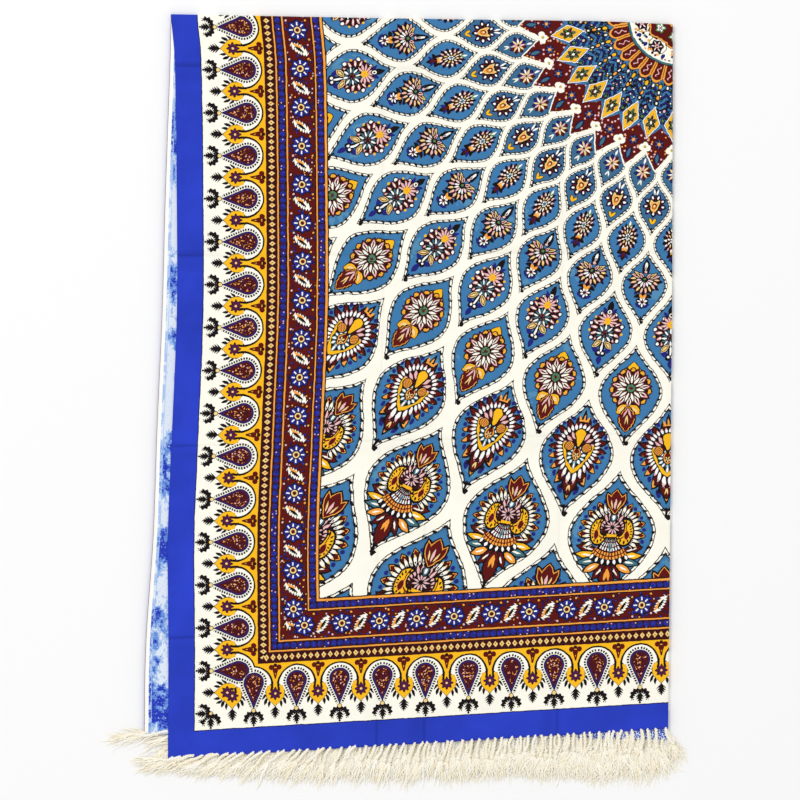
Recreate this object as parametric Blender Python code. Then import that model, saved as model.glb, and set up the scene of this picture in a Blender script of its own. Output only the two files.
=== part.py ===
"""Kalamkari tablecloth, a block-printed cotton cloth folded in four and laid flat.

The cloth is 1.40 m wide and 2.00 m long. It is folded once down its middle, which makes the
right-hand fold, and once across, which makes the top fold, so four layers lie on each other:
from the top A (print up), B (print down), C (print up) and D (print down). A knotted fringe
hangs from both short ends and lies splayed on the surface.
Metres, +Z up, X across the cloth, Y along it; the origin is the middle of the base.
"""

import bisect
import math
import random

import bmesh
import bpy
from mathutils import Vector

# The cloth, before folding
WIDTH = 1.40
LENGTH = 2.00
THICK = 0.0010
LAYER_GAP = 0.0008

# Radii of the two folds at the middle of the sheet: two layers turn about the first,
# and both pairs of layers turn about the second.
SIDE_RADIUS = (THICK + LAYER_GAP) / 2
TOP_RADIUS = THICK + LAYER_GAP
SIDE_STEPS = 4
TOP_STEPS = 6

# The folded outline. Each row: fraction of the way down from the top fold, then X of the
# right-hand fold and of the left hem of layer A.
SIDE_EDGES = (
    # down, fold, hem
    (0.00, 0.3475, -0.3464),
    (0.06, 0.3475, -0.3409),
    (0.25, 0.3470, -0.3381),
    (0.40, 0.3465, -0.3381),
    (0.55, 0.3450, -0.3443),
    (0.70, 0.3440, -0.3505),
    (0.85, 0.3425, -0.3498),
    (1.00, 0.3410, -0.3505),
)
# Each row: fraction of the way from the right-hand fold to the left hem, then Y of the top
# fold and of the bottom hem of layer A.
END_EDGES = (
    # left, fold, hem
    (0.00, 0.4982, -0.4747),
    (0.14, 0.5023, -0.4805),
    (0.27, 0.5036, -0.4858),
    (0.53, 0.5060, -0.4968),
    (1.00, 0.5120, -0.5161),
)
# How much further left than A each lower layer's hem reaches, by the fraction down.
LEFT_REACH = (
    # down, B, C, D
    (0.00, 0.0000, 0.0000, 0.0000),
    (0.06, 0.0069, -0.0020, -0.0030),
    (0.25, 0.0166, -0.0020, -0.0040),
    (0.40, 0.0207, -0.0020, -0.0040),
    (0.55, 0.0214, -0.0020, -0.0040),
    (0.70, 0.0207, -0.0020, -0.0040),
    (0.85, 0.0318, -0.0020, -0.0040),
    (1.00, 0.0331, -0.0020, -0.0040),
)
# How much further down than A each lower layer's hem reaches, by the fraction left.
DOWN_REACH = (
    # left, B, C, D
    (0.00, 0.0000, 0.0150, 0.0150),
    (0.14, -0.0010, 0.0080, 0.0110),
    (0.27, -0.0030, -0.0020, -0.0010),
    (0.53, -0.0110, -0.0100, -0.0100),
    (1.00, -0.0345, -0.0240, -0.0260),
)
REACH_STARTS = 0.86

# Storage creases, as soft ridges and troughs: place as a fraction, and height.
CREASE_HALF_WIDTH = 0.016
CREASES_ACROSS = (
    # down, height
    (0.069, 0.0010),
    (0.324, -0.0004),
    (0.580, 0.0012),
    (0.838, -0.0004),
)
CREASES_ALONG = (
    # left, height
    (0.222, 0.0008),
    (0.488, 0.0010),
    (0.583, -0.0004),
)
WAVE_HEIGHT = 0.0003
WAVE_LENGTHS = (0.31, 0.43)
GRID_STEP = 0.115

# The fringe: knotted locks standing apart on a narrow strip along each end
LOCKS_PER_LAYER = 46
STRIP_GAP = 0.0003
STRIP_DEPTH = 0.0030
LOCK_LENGTH = 0.066
LOCK_LENGTH_VARIES = 0.006
LOCK_SWAY = math.radians(3.5)
LOCK_STEPS = 4
LOCK_HEIGHT = 0.00064
LOCK_WIDTHS = (0.0046, 0.0050, 0.0072, 0.0084, 0.0040)
LOCK_REST = {"A": 0.0036, "B": 0.0025, "C": 0.0014, "D": 0.00032}
# Each row: fraction left, then how far each layer's locks lean left of straight down.
LOCK_LEAN = (
    # left, A, B, C, D, in degrees
    (0.00, -28, -20, -14, -18),
    (0.06, -6, -4, -4, -4),
    (0.20, 6, 4, 4, 4),
    (0.60, 10, 8, 8, 8),
    (0.85, 24, 26, 18, 18),
    (0.95, 44, 60, 34, 34),
    (1.00, 60, 84, 46, 46),
)

COTTON = (0.86, 0.82, 0.70, 1.0)
YARN = (0.80, 0.72, 0.56, 1.0)


def read_table(rows, at, column):
    """The value in a table's column at a place between rows, on a smooth curve through them."""
    at = min(max(at, rows[0][0]), rows[-1][0])
    last = len(rows) - 1
    low = max(i for i in range(last) if rows[i][0] <= at)
    high = low + 1

    def slope(i):
        before, after = rows[max(i - 1, 0)], rows[min(i + 1, last)]
        return (after[column] - before[column]) / (after[0] - before[0])

    span = rows[high][0] - rows[low][0]
    x = (at - rows[low][0]) / span
    rise = rows[high][column] - rows[low][column]
    start, end = slope(low) * span, slope(high) * span
    bent = start * x * (1 - x) ** 2 - end * x * x * (1 - x)
    return rows[low][column] + rise * x * x * (3 - 2 * x) + bent


def smooth_step(x):
    x = min(max(x, 0.0), 1.0)
    return x * x * (3 - 2 * x)


def mix(a, b, share):
    return a + (b - a) * share


def bend(along, radius, outward):
    """Folds a strip double round a cylinder. Returns the distance back from the fold, which is
    negative on the bend itself, and the height above the cylinder's axis."""
    quarter = radius * math.pi / 2
    if abs(along) >= quarter:
        return abs(along) - quarter, math.copysign(radius + outward, -along)
    angle = along / radius
    return -(radius + outward) * math.cos(angle), -(radius + outward) * math.sin(angle)


def layer_value(values, under, behind):
    """Blends A's, B's, C's and D's values: under is 0 in A and D and 1 in B and C, behind is
    0 in A and B and 1 in C and D."""
    a, b, c, d = values
    return mix(mix(a, b, under), mix(d, c, under), behind)


def crease(place, creases, run):
    """Height that the soft creases add at a fraction of the run."""
    total = 0.0
    for at, height in creases:
        away = abs(place - at) * run / CREASE_HALF_WIDTH
        if away < 1:
            total += height * (1 + math.cos(math.pi * away)) / 2
    return total


def rise(left, down, x, y):
    """How far creases and slow waves lift the top layer."""
    creases = crease(down, CREASES_ACROSS, LENGTH / 2) + crease(left, CREASES_ALONG, WIDTH / 2)
    across, along = WAVE_LENGTHS
    waves = math.sin(2 * math.pi * x / across + 0.8) * math.cos(2 * math.pi * y / along)
    settled = 1 - smooth_step((down - REACH_STARTS) / (1 - REACH_STARTS))
    return (creases + WAVE_HEIGHT * (1 + waves)) * settled


def folded(u, v, w):
    """Where a point of the flat cloth lies once folded: u across, v along, both from the
    middle, and w up from the middle of its thickness towards the printed side."""
    side_run = WIDTH / 2 - SIDE_RADIUS * math.pi / 2
    top_run = LENGTH / 2 - TOP_RADIUS * math.pi / 2
    back, lift = bend(u, SIDE_RADIUS, w)
    middle_lift = bend(u, SIDE_RADIUS, 0.0)[1]
    down_back, height = bend(v, TOP_RADIUS, lift)
    middle_height = bend(v, TOP_RADIUS, middle_lift)[1]
    left, down = back / side_run, down_back / top_run

    under = (1 - middle_lift / SIDE_RADIUS) / 2
    behind = (1 - bend(v, TOP_RADIUS, 0.0)[1] / TOP_RADIUS) / 2
    fold_x, hem_x = (read_table(SIDE_EDGES, down, c) for c in (1, 2))
    fold_y, hem_y = (read_table(END_EDGES, left, c) for c in (1, 2))
    reach_left = [0.0] + [read_table(LEFT_REACH, down, c) for c in (1, 2, 3)]
    reach_down = [0.0] + [read_table(DOWN_REACH, left, c) for c in (1, 2, 3)]
    left_share = smooth_step((left - REACH_STARTS) / (1 - REACH_STARTS))
    down_share = smooth_step((down - REACH_STARTS) / (1 - REACH_STARTS))
    x = mix(fold_x, hem_x, left) - left_share * layer_value(reach_left, under, behind)
    y = mix(fold_y, hem_y, down) - down_share * layer_value(reach_down, under, behind)

    top_layer = SIDE_RADIUS + TOP_RADIUS
    lifted = (middle_height + top_layer) / (2 * top_layer)
    base = top_layer + THICK / 2
    return Vector((x, y, base + height + rise(left, down, x, y) * lifted))


def grid_lines(half, radius, steps, creases):
    """Places for the sheet's grid lines from one hem to the other: along the bend, at each
    crease and its two feet, and no further apart than the grid step in between."""
    quarter = radius * math.pi / 2
    run = half - quarter
    marks = {0.0, run}
    for at, _ in creases:
        marks.update(at * run + side * CREASE_HALF_WIDTH for side in (-1, 0, 1))
    marks.add(REACH_STARTS * run)
    marks = sorted(marks)
    lines = []
    for low, high in zip(marks, marks[1:]):
        parts = math.ceil((high - low) / GRID_STEP)
        lines += [quarter + mix(low, high, i / parts) for i in range(parts)]
    lines.append(half)
    bent = [mix(-quarter, quarter, i / steps) for i in range(1, steps)]
    return [-place for place in reversed(lines)] + bent + lines


def along_hem(u, v, w, lines):
    """A point beside the sheet's hem, on the straight run between the grid lines it is by."""
    high = min(max(bisect.bisect_right(lines, u), 1), len(lines) - 1)
    before, after = lines[high - 1], lines[high]
    return folded(before, v, w).lerp(folded(after, v, w), (u - before) / (after - before))


def new_object(name, bm, colour):
    """Makes a named object with its own material from a bmesh, its faces turned outward."""
    bmesh.ops.recalc_face_normals(bm, faces=bm.faces)
    mesh = bpy.data.meshes.new(name)
    bm.to_mesh(mesh)
    bm.free()
    material = bpy.data.materials.new(name)
    material.use_nodes = True
    shader = material.node_tree.nodes["Principled BSDF"]
    shader.inputs["Base Color"].default_value = colour
    shader.inputs["Roughness"].default_value = 0.9
    shader.inputs["Metallic"].default_value = 0.0
    mesh.materials.append(material)
    made = bpy.data.objects.new(name, mesh)
    bpy.context.collection.objects.link(made)
    return made


def make_cloth():
    """The sheet: a printed face and a back face over one grid, joined round the four hems."""
    across = grid_lines(WIDTH / 2, SIDE_RADIUS, SIDE_STEPS, CREASES_ALONG)
    along = grid_lines(LENGTH / 2, TOP_RADIUS, TOP_STEPS, CREASES_ACROSS)
    bm = bmesh.new()
    sides = [
        [[bm.verts.new(folded(u, v, w)) for u in across] for v in along]
        for w in (THICK / 2, -THICK / 2)
    ]
    rows, columns = len(along), len(across)
    for side in sides:
        for r in range(rows - 1):
            for c in range(columns - 1):
                bm.faces.new((side[r][c], side[r][c + 1], side[r + 1][c + 1], side[r + 1][c]))
    rim = [(0, c) for c in range(columns)]
    rim += [(r, columns - 1) for r in range(1, rows)]
    rim += [(rows - 1, c) for c in reversed(range(columns - 1))]
    rim += [(r, 0) for r in reversed(range(1, rows - 1))]
    printed, back = sides
    for (r0, c0), (r1, c1) in zip(rim, rim[1:] + rim[:1]):
        bm.faces.new((printed[r0][c0], printed[r1][c1], back[r1][c1], back[r0][c0]))
    return new_object("cloth", bm, COTTON)


def root_in_order(corners):
    """A lock's four root corners in the order of its sections: right top, right bottom, left
    bottom, left top."""
    by_height = sorted(corners, key=lambda corner: corner.co.z)
    bottom = sorted(by_height[:2], key=lambda corner: corner.co.x)
    top = sorted(by_height[2:], key=lambda corner: corner.co.x)
    return [top[1], bottom[1], bottom[0], top[0]]


def add_lock(bm, section, layer, lean, rng):
    """Grows a lock from its four root corners. It leans left by the given angle, sways a
    little, and sinks from its layer to where it rests."""
    length = LOCK_LENGTH + rng.uniform(-1, 1) * LOCK_LENGTH_VARIES
    sway = rng.uniform(-1, 1) * LOCK_SWAY
    here = sum((corner.co for corner in section), Vector()) / 4
    root_height = here.z
    up = Vector((0.0, 0.0, LOCK_HEIGHT / 2))
    for step in range(1, LOCK_STEPS + 1):
        share = step / LOCK_STEPS
        heading = lean + sway * math.sin(math.pi * share)
        ahead = Vector((-math.sin(heading), -math.cos(heading), 0.0))
        side = Vector((math.cos(heading), -math.sin(heading), 0.0)) * LOCK_WIDTHS[step] / 2
        here = here + ahead * length / LOCK_STEPS
        here.z = mix(root_height, LOCK_REST[layer], smooth_step(share))
        points = (here + side + up, here + side - up, here - side - up, here - side + up)
        ring = [bm.verts.new(point) for point in points]
        for k in range(4):
            n = (k + 1) % 4
            bm.faces.new((section[k], section[n], ring[n], ring[k]))
        section = ring
    bm.faces.new(section)


def strip_columns():
    """Places across the cloth where the fringe's strip has a section, each with whether a lock
    grows between it and the next: two for each lock, and the bend between the layers."""
    pitch = WIDTH / 2 / LOCKS_PER_LAYER
    quarter = SIDE_RADIUS * math.pi / 2
    half = LOCK_WIDTHS[0] / 2
    columns = []
    for number in range(2 * LOCKS_PER_LAYER):
        middle = -WIDTH / 2 + (number + 0.5) * pitch
        columns += [(middle - half, True), (middle + half, False)]
    columns += [(mix(-quarter, quarter, i / SIDE_STEPS), False) for i in range(SIDE_STEPS + 1)]
    return sorted(columns)


def make_fringe(name, end, layers):
    """One end's fringe: a narrow strip parted from the hem, which turns the right-hand fold
    with the cloth, and its locks. end is -1 or 1 along the cloth's length, and layers names
    the layer left of the cloth's middle and the one right of it."""
    rng = random.Random(name)
    near = LENGTH / 2 + STRIP_GAP
    far = near + STRIP_DEPTH
    half = LOCK_HEIGHT / 2
    corners = ((near, half), (far, half), (far, -half), (near, -half))
    lines = grid_lines(WIDTH / 2, SIDE_RADIUS, SIDE_STEPS, CREASES_ALONG)
    columns = strip_columns()
    bm = bmesh.new()
    rings = [
        [bm.verts.new(along_hem(u, end * v, w, lines)) for v, w in corners] for u, _ in columns
    ]
    bm.faces.new(rings[0])
    bm.faces.new(rings[-1])
    for i in range(len(rings) - 1):
        this, following = rings[i], rings[i + 1]
        u, has_lock = columns[i]
        if has_lock:
            layer = layers[0] if u < 0 else layers[1]
            column = 1 + "ABCD".index(layer)
            lean = math.radians(read_table(LOCK_LEAN, abs(u) / (WIDTH / 2), column))
            root = root_in_order((this[1], this[2], following[1], following[2]))
            add_lock(bm, root, layer, lean, rng)
        for k in range(4):
            n = (k + 1) % 4
            if k != 1 or not has_lock:
                bm.faces.new((this[k], this[n], following[n], following[k]))
    return new_object(name, bm, YARN)


def centre_on_base(made):
    """Moves everything together so that the origin is the middle of the base."""
    points = [o.matrix_world @ Vector(c) for o in made for c in o.bound_box]
    low = [min(p[i] for p in points) for i in range(3)]
    high = [max(p[i] for p in points) for i in range(3)]
    shift = Vector(((low[0] + high[0]) / 2, (low[1] + high[1]) / 2, low[2]))
    for o in made:
        o.location = -shift


def main():
    for old in list(bpy.data.objects):
        bpy.data.objects.remove(old)
    cloth = make_cloth()
    upper = make_fringe("fringe_upper", -1, "AB")
    lower = make_fringe("fringe_lower", 1, "DC")
    bpy.context.view_layer.update()
    centre_on_base([cloth, upper, lower])


main()
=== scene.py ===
import math
import random

import bpy
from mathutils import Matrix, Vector, noise


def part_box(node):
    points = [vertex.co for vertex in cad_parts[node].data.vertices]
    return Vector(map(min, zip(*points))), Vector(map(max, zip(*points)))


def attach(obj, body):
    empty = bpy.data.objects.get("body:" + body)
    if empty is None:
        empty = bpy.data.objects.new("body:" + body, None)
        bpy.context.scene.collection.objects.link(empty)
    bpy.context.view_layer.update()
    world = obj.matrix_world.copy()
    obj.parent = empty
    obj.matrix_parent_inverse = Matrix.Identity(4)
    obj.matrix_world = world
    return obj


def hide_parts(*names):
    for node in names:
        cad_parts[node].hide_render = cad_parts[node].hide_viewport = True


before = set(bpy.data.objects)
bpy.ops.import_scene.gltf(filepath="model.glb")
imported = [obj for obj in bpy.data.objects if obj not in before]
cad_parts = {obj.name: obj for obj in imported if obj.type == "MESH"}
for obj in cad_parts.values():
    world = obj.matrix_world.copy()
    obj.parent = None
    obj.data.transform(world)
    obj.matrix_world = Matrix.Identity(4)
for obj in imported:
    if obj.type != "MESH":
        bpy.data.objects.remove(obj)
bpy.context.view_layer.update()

# The cloth and how it is folded, as in the part's source: two bends, with the outline of the
# folded sheet in short tables. Metres, in the cloth's own drawing, whose origin is near its middle.
WIDTH = 1.40
LENGTH = 2.00
THICK = 0.0010
LAYER_GAP = 0.0008
SIDE_RADIUS = (THICK + LAYER_GAP) / 2
TOP_RADIUS = THICK + LAYER_GAP
SIDE_STEPS = 6
TOP_STEPS = 8
SIDE_EDGES = (
    # down, fold, hem
    (0.00, 0.3475, -0.3464),
    (0.06, 0.3475, -0.3409),
    (0.25, 0.3470, -0.3381),
    (0.40, 0.3465, -0.3381),
    (0.55, 0.3450, -0.3443),
    (0.70, 0.3440, -0.3505),
    (0.85, 0.3425, -0.3498),
    (1.00, 0.3410, -0.3505),
)
END_EDGES = (
    # left, fold, hem
    (0.00, 0.4982, -0.4747),
    (0.14, 0.5023, -0.4805),
    (0.27, 0.5036, -0.4858),
    (0.53, 0.5060, -0.4968),
    (1.00, 0.5120, -0.5161),
)
LEFT_REACH = (
    # down, B, C, D
    (0.00, 0.0000, 0.0000, 0.0000),
    (0.06, 0.0069, -0.0020, -0.0030),
    (0.25, 0.0166, -0.0020, -0.0040),
    (0.40, 0.0207, -0.0020, -0.0040),
    (0.55, 0.0214, -0.0020, -0.0040),
    (0.70, 0.0207, -0.0020, -0.0040),
    (0.85, 0.0318, -0.0020, -0.0040),
    (1.00, 0.0331, -0.0020, -0.0040),
)
DOWN_REACH = (
    # left, B, C, D
    (0.00, 0.0000, 0.0150, 0.0150),
    (0.14, -0.0010, 0.0080, 0.0110),
    (0.27, -0.0030, -0.0020, -0.0010),
    (0.53, -0.0110, -0.0100, -0.0100),
    (1.00, -0.0345, -0.0240, -0.0260),
)
REACH_STARTS = 0.86
CREASE_HALF_WIDTH = 0.016
CREASES_ACROSS = (
    # down, height
    (0.069, 0.0010),
    (0.324, -0.0004),
    (0.580, 0.0012),
    (0.838, -0.0004),
)
CREASES_ALONG = (
    # left, height
    (0.222, 0.0008),
    (0.488, 0.0010),
    (0.583, -0.0004),
)
WAVE_HEIGHT = 0.0003
WAVE_LENGTHS = (0.31, 0.43)

# Finer than the part's solid: pressed lines in the creases, puckers and the turned side hems
PRESS_HALF_WIDTH = 0.0032
PRESS_DEPTH = -0.00045
PUCKER_HEIGHT = 0.00022
PUCKER_SIZES = (0.055, 0.019)
HEM_TURN = 0.009
HEM_STEP = 0.0006
HEM_THICKNESS = 0.0004
FINE_STEP = 0.0070
COARSE_STEP = 0.0136
# A soft crease's painted shade, on its shaded side: how far it lies from a crease down and left,
# and its strength per metre of the crease's height
SHADE_ASIDE = (0.012, 0.018)
CREASE_SHADE = 300

# Where the print lies in the cloth's drawing, in millimetres
MEDALLION = (355.3, 508.5)
SIDE_REPEAT_FROM = 494.5
END_REPEAT_FROM = -231.8
# The field was printed a little askew. A point's x and y in it are shares of its distances out
# and off from the middle, and of their product over the reach.
FIELD_REACH = 690.0
FIELD_X = (1.0, -0.024, -0.0363)
FIELD_Y = (0.0186, 1.03, -0.0796)
# Where more or less dye than elsewhere came through to the reverse, in millimetres
REVERSE_STAINS = (
    # from the end hem, half length, strength
    (292.0, 34.0, 0.55),
    (190.0, 60.0, 0.30),
    (30.0, 30.0, 0.30),
    (336.0, 25.0, -0.50),
)

# The fringe: cords leave the hem one by one, and each is knotted and unravels below its knot
CORDS_PER_LAYER = 62
CORD_JITTER = 0.28
CORD_STEPS = 20
CORD_TWIST_STEPS = 6
CORD_SHADES = (0.35, 0.85)
CORD_LENGTHS = (0.75, 1.2)
PLY_RADIUS = 0.0014
PRESSED_RADIUS = PLY_RADIUS * 0.8
ROOT_INSIDE = 0.0020
COVERED_HEADROOM = 0.0010
KNOT_RADIUS = 0.0016
KNOT_LENGTH = 0.0040
KNOT_TURNS = 2.0
KNOT_STEPS = 12
KNOT_SHADES = (0.3, 0.8)
YARNS_PER_TUFT = 23
YARN_STEPS = 6
LOOSE_SHARE = 0.45
LOOSE_FROM = (0.2, 0.9)
YARN_LENGTHS = (0.60, 1.12)
YARN_WAVES = (1.0, 2.6)
YARN_WAVE_HEIGHTS = (0.0006, 0.0018)
YARN_RADII = (0.00060, 0.00125)
YARN_FLATNESS = 0.26
YARN_COLOURS = ((253, 241, 212), (255, 254, 246))
TUFT_HEIGHT = 0.0022
LOCK_SWAY = math.radians(8)
LOCK_REST = {"A": 0.0020, "B": 0.0014, "C": 0.0008, "D": 0.0006}
# Each row: fraction left, the cords' length, then the tufts' length, spread and curl.
LOCK_SHAPE = (
    # left, cord, tuft, spread, curl
    (0.00, 0.026, 0.030, 0.40, 0.55),
    (0.05, 0.026, 0.036, 0.70, 0.75),
    (0.25, 0.026, 0.036, 0.70, 0.65),
    (0.45, 0.024, 0.038, 0.42, 0.40),
    (0.70, 0.021, 0.040, 0.24, 0.24),
    (1.00, 0.020, 0.042, 0.18, 0.18),
)
# Each row: fraction left, then how far each layer's cords lean left of straight down.
LOCK_LEAN = (
    # left, A, B, C, D, in degrees
    (0.00, -30, -22, -14, -18),
    (0.03, -4, -4, -4, -4),
    (0.20, 6, 4, 4, 2),
    (0.45, 14, 10, 8, 8),
    (0.60, 26, 20, 14, 14),
    (0.80, 50, 42, 24, 24),
    (0.92, 70, 70, 38, 38),
    (1.00, 82, 88, 50, 50),
)

# The camera, straight above, and the stretch of floor that it sees
VIEW_CENTRE = (-0.0290, -0.0193)
VIEW_WIDTH = 1.109
VIEW_HEIGHT = 7.0
SENSOR = 36.0
# Metres, watts and sRGB
FLOOR_COLOUR = (249, 249, 249)
FLOOR_GAP = 0.0002
STUDIO_LIGHT = 0.80
KEY_PLACE = (-3.0, 3.4, 6.0)
KEY_WIDTH = 2.6
KEY_POWER = 165


def add_object(name, data):
    made = bpy.data.objects.new(name, data)
    bpy.context.collection.objects.link(made)
    return made


def read_table(rows, at, column):
    """The value in a table's column at a place between rows, on a smooth curve through them."""
    at = min(max(at, rows[0][0]), rows[-1][0])
    last = len(rows) - 1
    low = max(i for i in range(last) if rows[i][0] <= at)
    high = low + 1

    def slope(i):
        before, after = rows[max(i - 1, 0)], rows[min(i + 1, last)]
        return (after[column] - before[column]) / (after[0] - before[0])

    span = rows[high][0] - rows[low][0]
    x = (at - rows[low][0]) / span
    rise = rows[high][column] - rows[low][column]
    start, end = slope(low) * span, slope(high) * span
    bent = start * x * (1 - x) ** 2 - end * x * x * (1 - x)
    return rows[low][column] + rise * x * x * (3 - 2 * x) + bent


def smooth_step(x):
    x = min(max(x, 0.0), 1.0)
    return x * x * (3 - 2 * x)


def mix(a, b, share):
    return a + (b - a) * share


def bend(along, radius, outward):
    """Folds a strip double round a cylinder: the distance back from the fold, and the height
    above the cylinder's axis."""
    quarter = radius * math.pi / 2
    if abs(along) >= quarter:
        return abs(along) - quarter, math.copysign(radius + outward, -along)
    angle = along / radius
    return -(radius + outward) * math.cos(angle), -(radius + outward) * math.sin(angle)


def layer_value(values, under, behind):
    """Blends A's, B's, C's and D's values: under is 0 in A and D and 1 in B and C, behind is
    0 in A and B and 1 in C and D."""
    a, b, c, d = values
    return mix(mix(a, b, under), mix(d, c, under), behind)


def crease(place, creases, run, half_width):
    """Height that creases add at a fraction of the run."""
    total = 0.0
    for at, height in creases:
        away = abs(place - at) * run / half_width
        if away < 1:
            total += height * (1 + math.cos(math.pi * away)) / 2
    return total


def pressed(creases):
    """The sharp lines in the middle of soft creases."""
    return tuple((at, PRESS_DEPTH) for at, _ in creases)


def rise(left, down, x, y):
    """How far creases, slow waves and puckers lift the top layer."""
    soft = crease(down, CREASES_ACROSS, LENGTH / 2, CREASE_HALF_WIDTH)
    soft += crease(left, CREASES_ALONG, WIDTH / 2, CREASE_HALF_WIDTH)
    sharp = crease(down, pressed(CREASES_ACROSS), LENGTH / 2, PRESS_HALF_WIDTH)
    sharp += crease(left, pressed(CREASES_ALONG), WIDTH / 2, PRESS_HALF_WIDTH)
    across, along = WAVE_LENGTHS
    waves = math.sin(2 * math.pi * x / across + 0.8) * math.cos(2 * math.pi * y / along)
    puckers = sum(noise.noise(Vector((x / span, y / span, 3.7))) for span in PUCKER_SIZES)
    settled = 1 - smooth_step((down - REACH_STARTS) / (1 - REACH_STARTS))
    slow = soft + WAVE_HEIGHT * (1 + waves)
    return slow * settled + sharp + PUCKER_HEIGHT * (1.2 + puckers)


def folded(u, v, w):
    """Where a point of the flat cloth lies once folded: u across, v along, both from the
    middle, and w up from the middle of its thickness towards the printed side."""
    side_run = WIDTH / 2 - SIDE_RADIUS * math.pi / 2
    top_run = LENGTH / 2 - TOP_RADIUS * math.pi / 2
    back, lift = bend(u, SIDE_RADIUS, w)
    middle_lift = bend(u, SIDE_RADIUS, 0.0)[1]
    down_back, height = bend(v, TOP_RADIUS, lift)
    middle_height = bend(v, TOP_RADIUS, middle_lift)[1]
    left, down = back / side_run, down_back / top_run

    under = (1 - middle_lift / SIDE_RADIUS) / 2
    behind = (1 - bend(v, TOP_RADIUS, 0.0)[1] / TOP_RADIUS) / 2
    fold_x, hem_x = (read_table(SIDE_EDGES, down, c) for c in (1, 2))
    fold_y, hem_y = (read_table(END_EDGES, left, c) for c in (1, 2))
    reach_left = [0.0] + [read_table(LEFT_REACH, down, c) for c in (1, 2, 3)]
    reach_down = [0.0] + [read_table(DOWN_REACH, left, c) for c in (1, 2, 3)]
    left_share = smooth_step((left - REACH_STARTS) / (1 - REACH_STARTS))
    down_share = smooth_step((down - REACH_STARTS) / (1 - REACH_STARTS))
    x = mix(fold_x, hem_x, left) - left_share * layer_value(reach_left, under, behind)
    y = mix(fold_y, hem_y, down) - down_share * layer_value(reach_down, under, behind)

    top_layer = SIDE_RADIUS + TOP_RADIUS
    lifted = (middle_height + top_layer) / (2 * top_layer)
    base = top_layer + THICK / 2
    return Vector((x, y, base + height + rise(left, down, x, y) * lifted))


def print_place(u, v):
    """A point's places in the print, in millimetres: its distances from the side hem and the
    end hem, how far along each border it is, and its place from the medallion's middle. The
    last follows the slight skew with which the field was printed."""
    left, down = abs(u) / (WIDTH / 2), abs(v) / (LENGTH / 2)
    fold_x, hem_x = (1000 * read_table(SIDE_EDGES, down, c) for c in (1, 2))
    fold_y, hem_y = (1000 * read_table(END_EDGES, left, c) for c in (1, 2))
    from_side = (1 - left) * (fold_x - hem_x)
    from_end = (1 - down) * (fold_y - hem_y)
    along_side = SIDE_REPEAT_FROM - (hem_y + from_end)
    along_end = hem_x + from_side - END_REPEAT_FROM
    out = MEDALLION[0] - fold_x - math.copysign(left, u) * (fold_x - hem_x)
    off = MEDALLION[1] - fold_y - math.copysign(down, v) * (fold_y - hem_y)
    both = out * off / FIELD_REACH
    plan_x, plan_y = (a * out + b * off + c * both for a, b, c in (FIELD_X, FIELD_Y))
    return (from_side, from_end, 0.0), (along_side, along_end, 0.0), (plan_x, plan_y, 0.0)


# ---------------------------------------------------------------- node arithmetic


def math_node(operation, *inputs):
    tree = next(value.socket.node.id_data for value in inputs if isinstance(value, Num))
    return Num(add_node(tree, "ShaderNodeMath", *inputs, operation=operation).outputs[0])


def maths(operation):
    """A function of numbers that adds one Math node to their material."""
    return lambda *inputs: math_node(operation, *inputs)


def swapped(operation):
    """The same for an operator whose left side is a plain number."""
    return lambda right, left: math_node(operation, left, right)


class Num:
    """A number that varies over the cloth. Its operators add Math nodes to the material, and a
    comparison gives a mask of 1 and 0."""

    __add__ = maths("ADD")
    __sub__ = maths("SUBTRACT")
    __rsub__ = swapped("SUBTRACT")
    __mul__ = maths("MULTIPLY")
    __truediv__ = maths("DIVIDE")
    __lt__ = maths("LESS_THAN")
    __gt__ = maths("GREATER_THAN")
    __and__ = maths("MULTIPLY")
    __or__ = maths("MAXIMUM")

    def __init__(self, socket):
        self.socket = socket


root = maths("SQRT")
cosine = maths("COSINE")
sine = maths("SINE")
less = maths("MINIMUM")
more = maths("MAXIMUM")
# A number without its sign
size = maths("ABSOLUTE")
# A number times a factor, plus an offset
scaled = maths("MULTIPLY_ADD")
# The distance from the nearest whole multiple of twice a half: a mirrored repeat
fold = maths("PINGPONG")
# A mask of where a number is within a half width of a middle
within = maths("COMPARE")
# The angle of x and y, from +y towards +x
angle = maths("ARCTAN2")


def wrap(a, half):
    """Signed distance from the nearest whole multiple of twice the half: a plain repeat."""
    return math_node("WRAP", a, half, -half)


def length(x, y):
    return root(scaled(x, x, y * y))


def add_node(tree, kind, *inputs, named=None, **settings):
    """A new node with its settings. Inputs are set or linked in order, and others by name."""
    node = tree.nodes.new(kind)
    for name, value in settings.items():
        setattr(node, name, value)
    pairs = list(zip(node.inputs, inputs))
    pairs += [(node.inputs[title], value) for title, value in (named or {}).items()]
    for socket, value in pairs:
        if isinstance(value, Num):
            tree.links.new(value.socket, socket)
        elif isinstance(value, bpy.types.NodeSocket):
            tree.links.new(value, socket)
        elif value is not None:
            socket.default_value = value
    return node


def choose(where, otherwise, value):
    """value where the mask is 1, and otherwise where it is 0."""
    tree = where.socket.node.id_data
    return Num(add_node(tree, "ShaderNodeMix", where, None, otherwise, value).outputs[0])


def attribute(tree, name, output="Vector"):
    """What is stored on the cloth's points under a name."""
    return add_node(tree, "ShaderNodeAttribute", attribute_name=name).outputs[output]


def first_two(tree, vector):
    """The first two numbers of a vector."""
    split = add_node(tree, "ShaderNodeSeparateXYZ", vector)
    return Num(split.outputs[0]), Num(split.outputs[1])


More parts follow.
